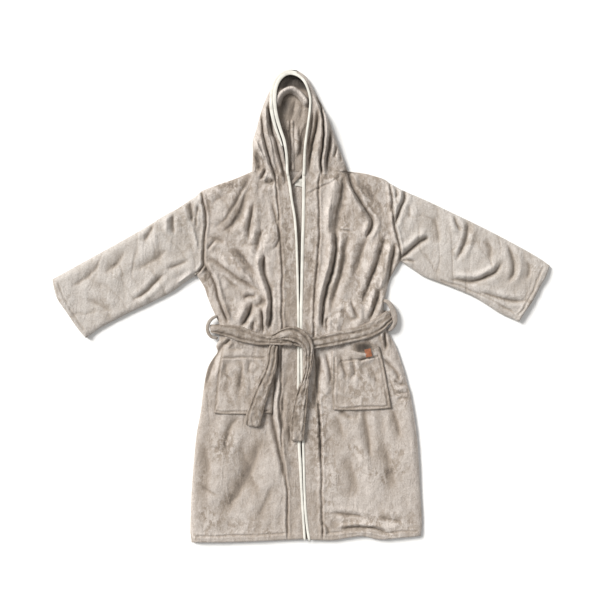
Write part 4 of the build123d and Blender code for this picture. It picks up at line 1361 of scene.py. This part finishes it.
# %% [markdown]
# ## Stitching
# The hems and the pockets are sewn with a lockstitch. Each stitch is a short, rounded bead of thread,
# sunk a little into the pile, so a whole row is a few dozen faces per stitch and no more.

# %% Sew the rows
stitch_pitch = 4.4
stitch_length = 3.0
stitch_thickness = 0.9


def sew(name, rows, height, body, cad_node):
    """Rows of stitches along lines. height(x, y) is the cloth under them."""
    bm = bmesh.new()
    for row in rows:
        line = smooth_line(row)
        length = np.linalg.norm(np.diff(line, axis=0), axis=1).sum()
        count = int(length / stitch_pitch)
        centres = along(line, (np.arange(count) + 0.5) / count)
        ahead = along(line, np.clip((np.arange(count) + 0.6) / count, 0, 1))
        levels = height(centres[:, 0], centres[:, 1])
        for (x, y), (ax, ay), z in zip(centres, ahead, levels):
            turn = Matrix.Rotation(math.atan2(ay - y, ax - x), 4, "Z")
            thin = stitch_thickness / 2 * mm
            size = Matrix.Diagonal((stitch_length / 2 * mm, thin, thin, 1))
            bmesh.ops.create_uvsphere(
                bm, u_segments=6, v_segments=4, radius=1,
                matrix=Matrix.Translation(Vector((x, y, z)) * mm) @ turn @ size)
    mesh = bpy.data.meshes.new(name)
    bm.to_mesh(mesh)
    bm.free()
    piece = bpy.data.objects.new(name, mesh)
    scene.collection.objects.link(piece)
    keep_lie(piece)
    return dress(piece, thread_cotton, body, [cad_node])


def on_cloth(x, y):
    return cloth_top(x, y) + 0.1


sew("hem_thread", hem_rows, on_cloth, "robe", "hem_stitching")
sew("right_cuff_thread", [right_cuff_row], on_cloth, "right_sleeve", "right_cuff_stitching")
sew("left_cuff_thread", [left_cuff_row], on_cloth, "left_sleeve", "left_cuff_stitching")


def on_patch(x, y):
    soft = 0.45 * cloth_top(x, y) + 0.55 * cloth_top(x, y, folded=False)
    return soft + 5.0


sew("right_pocket_thread", [
    [(-252, -150), (-262, -206), (-268, -300), (-270, -332), (-200, -334), (-98, -333)],
    [(-250, -164), (-180, -163), (-112, -163)],
], on_patch, "robe", "right_pocket_stitching")
sew("left_pocket_thread", [
    [(108, -156), (107, -246), (112, -318), (190, -322), (278, -317)],
    [(120, -180), (165, -170), (200, -168)],
], on_patch, "robe", "left_pocket_stitching")

# %% [markdown]
# ## Floor, light and camera
# A large white floor, a broad key light from the upper left that models the folds, and a pale sky that
# fills the shadows. The camera looks straight down, as it would from a gantry above a studio table.

# %% Stage
bm = bmesh.new()
bmesh.ops.create_grid(bm, x_segments=1, y_segments=1, size=40)
floor_mesh = bpy.data.meshes.new("studio_floor")
bm.to_mesh(floor_mesh)
bm.free()
floor = bpy.data.objects.new("studio_floor", floor_mesh)
scene.collection.objects.link(floor)
paper = bpy.data.materials.new("white_paper")
paper.use_nodes = True
paper.node_tree.nodes["Principled BSDF"].inputs["Base Color"].default_value = (0.93, 0.93, 0.925, 1)
paper.node_tree.nodes["Principled BSDF"].inputs["Roughness"].default_value = 0.9
paper.node_tree.nodes["Principled BSDF"].inputs["Specular IOR Level"].default_value = 0.1
floor_mesh.materials.append(paper)

key = bpy.data.lights.new("key_light", "SUN")
key.energy = 4.5
key.angle = math.radians(24)
key.color = (1.0, 0.985, 0.96)
key_lamp = bpy.data.objects.new("key_light", key)
key_lamp.rotation_euler = Vector((-0.80, 0.62, 0.74)).to_track_quat("Z", "Y").to_euler()
scene.collection.objects.link(key_lamp)

world = bpy.data.worlds.new("studio_sky")
world.use_nodes = True
world.node_tree.nodes["Background"].inputs["Color"].default_value = (1, 0.99, 0.975, 1)
world.node_tree.nodes["Background"].inputs["Strength"].default_value = 0.46
scene.world = world
scene.view_settings.view_transform = "Standard"

# %% Camera
image_width = 1.920      # how much of the floor the picture shows, in metres
camera_data = bpy.data.cameras.new("gantry_camera")
camera_data.lens = 50
camera_data.sensor_width = 36
camera = bpy.data.objects.new("gantry_camera", camera_data)
height = image_width / 2 / (camera_data.sensor_width / 2 / camera_data.lens)
camera.location = (-0.0032, 0.0212, height + front_top * mm)
scene.collection.objects.link(camera)
scene.camera = camera
print("camera height", round(height, 3))
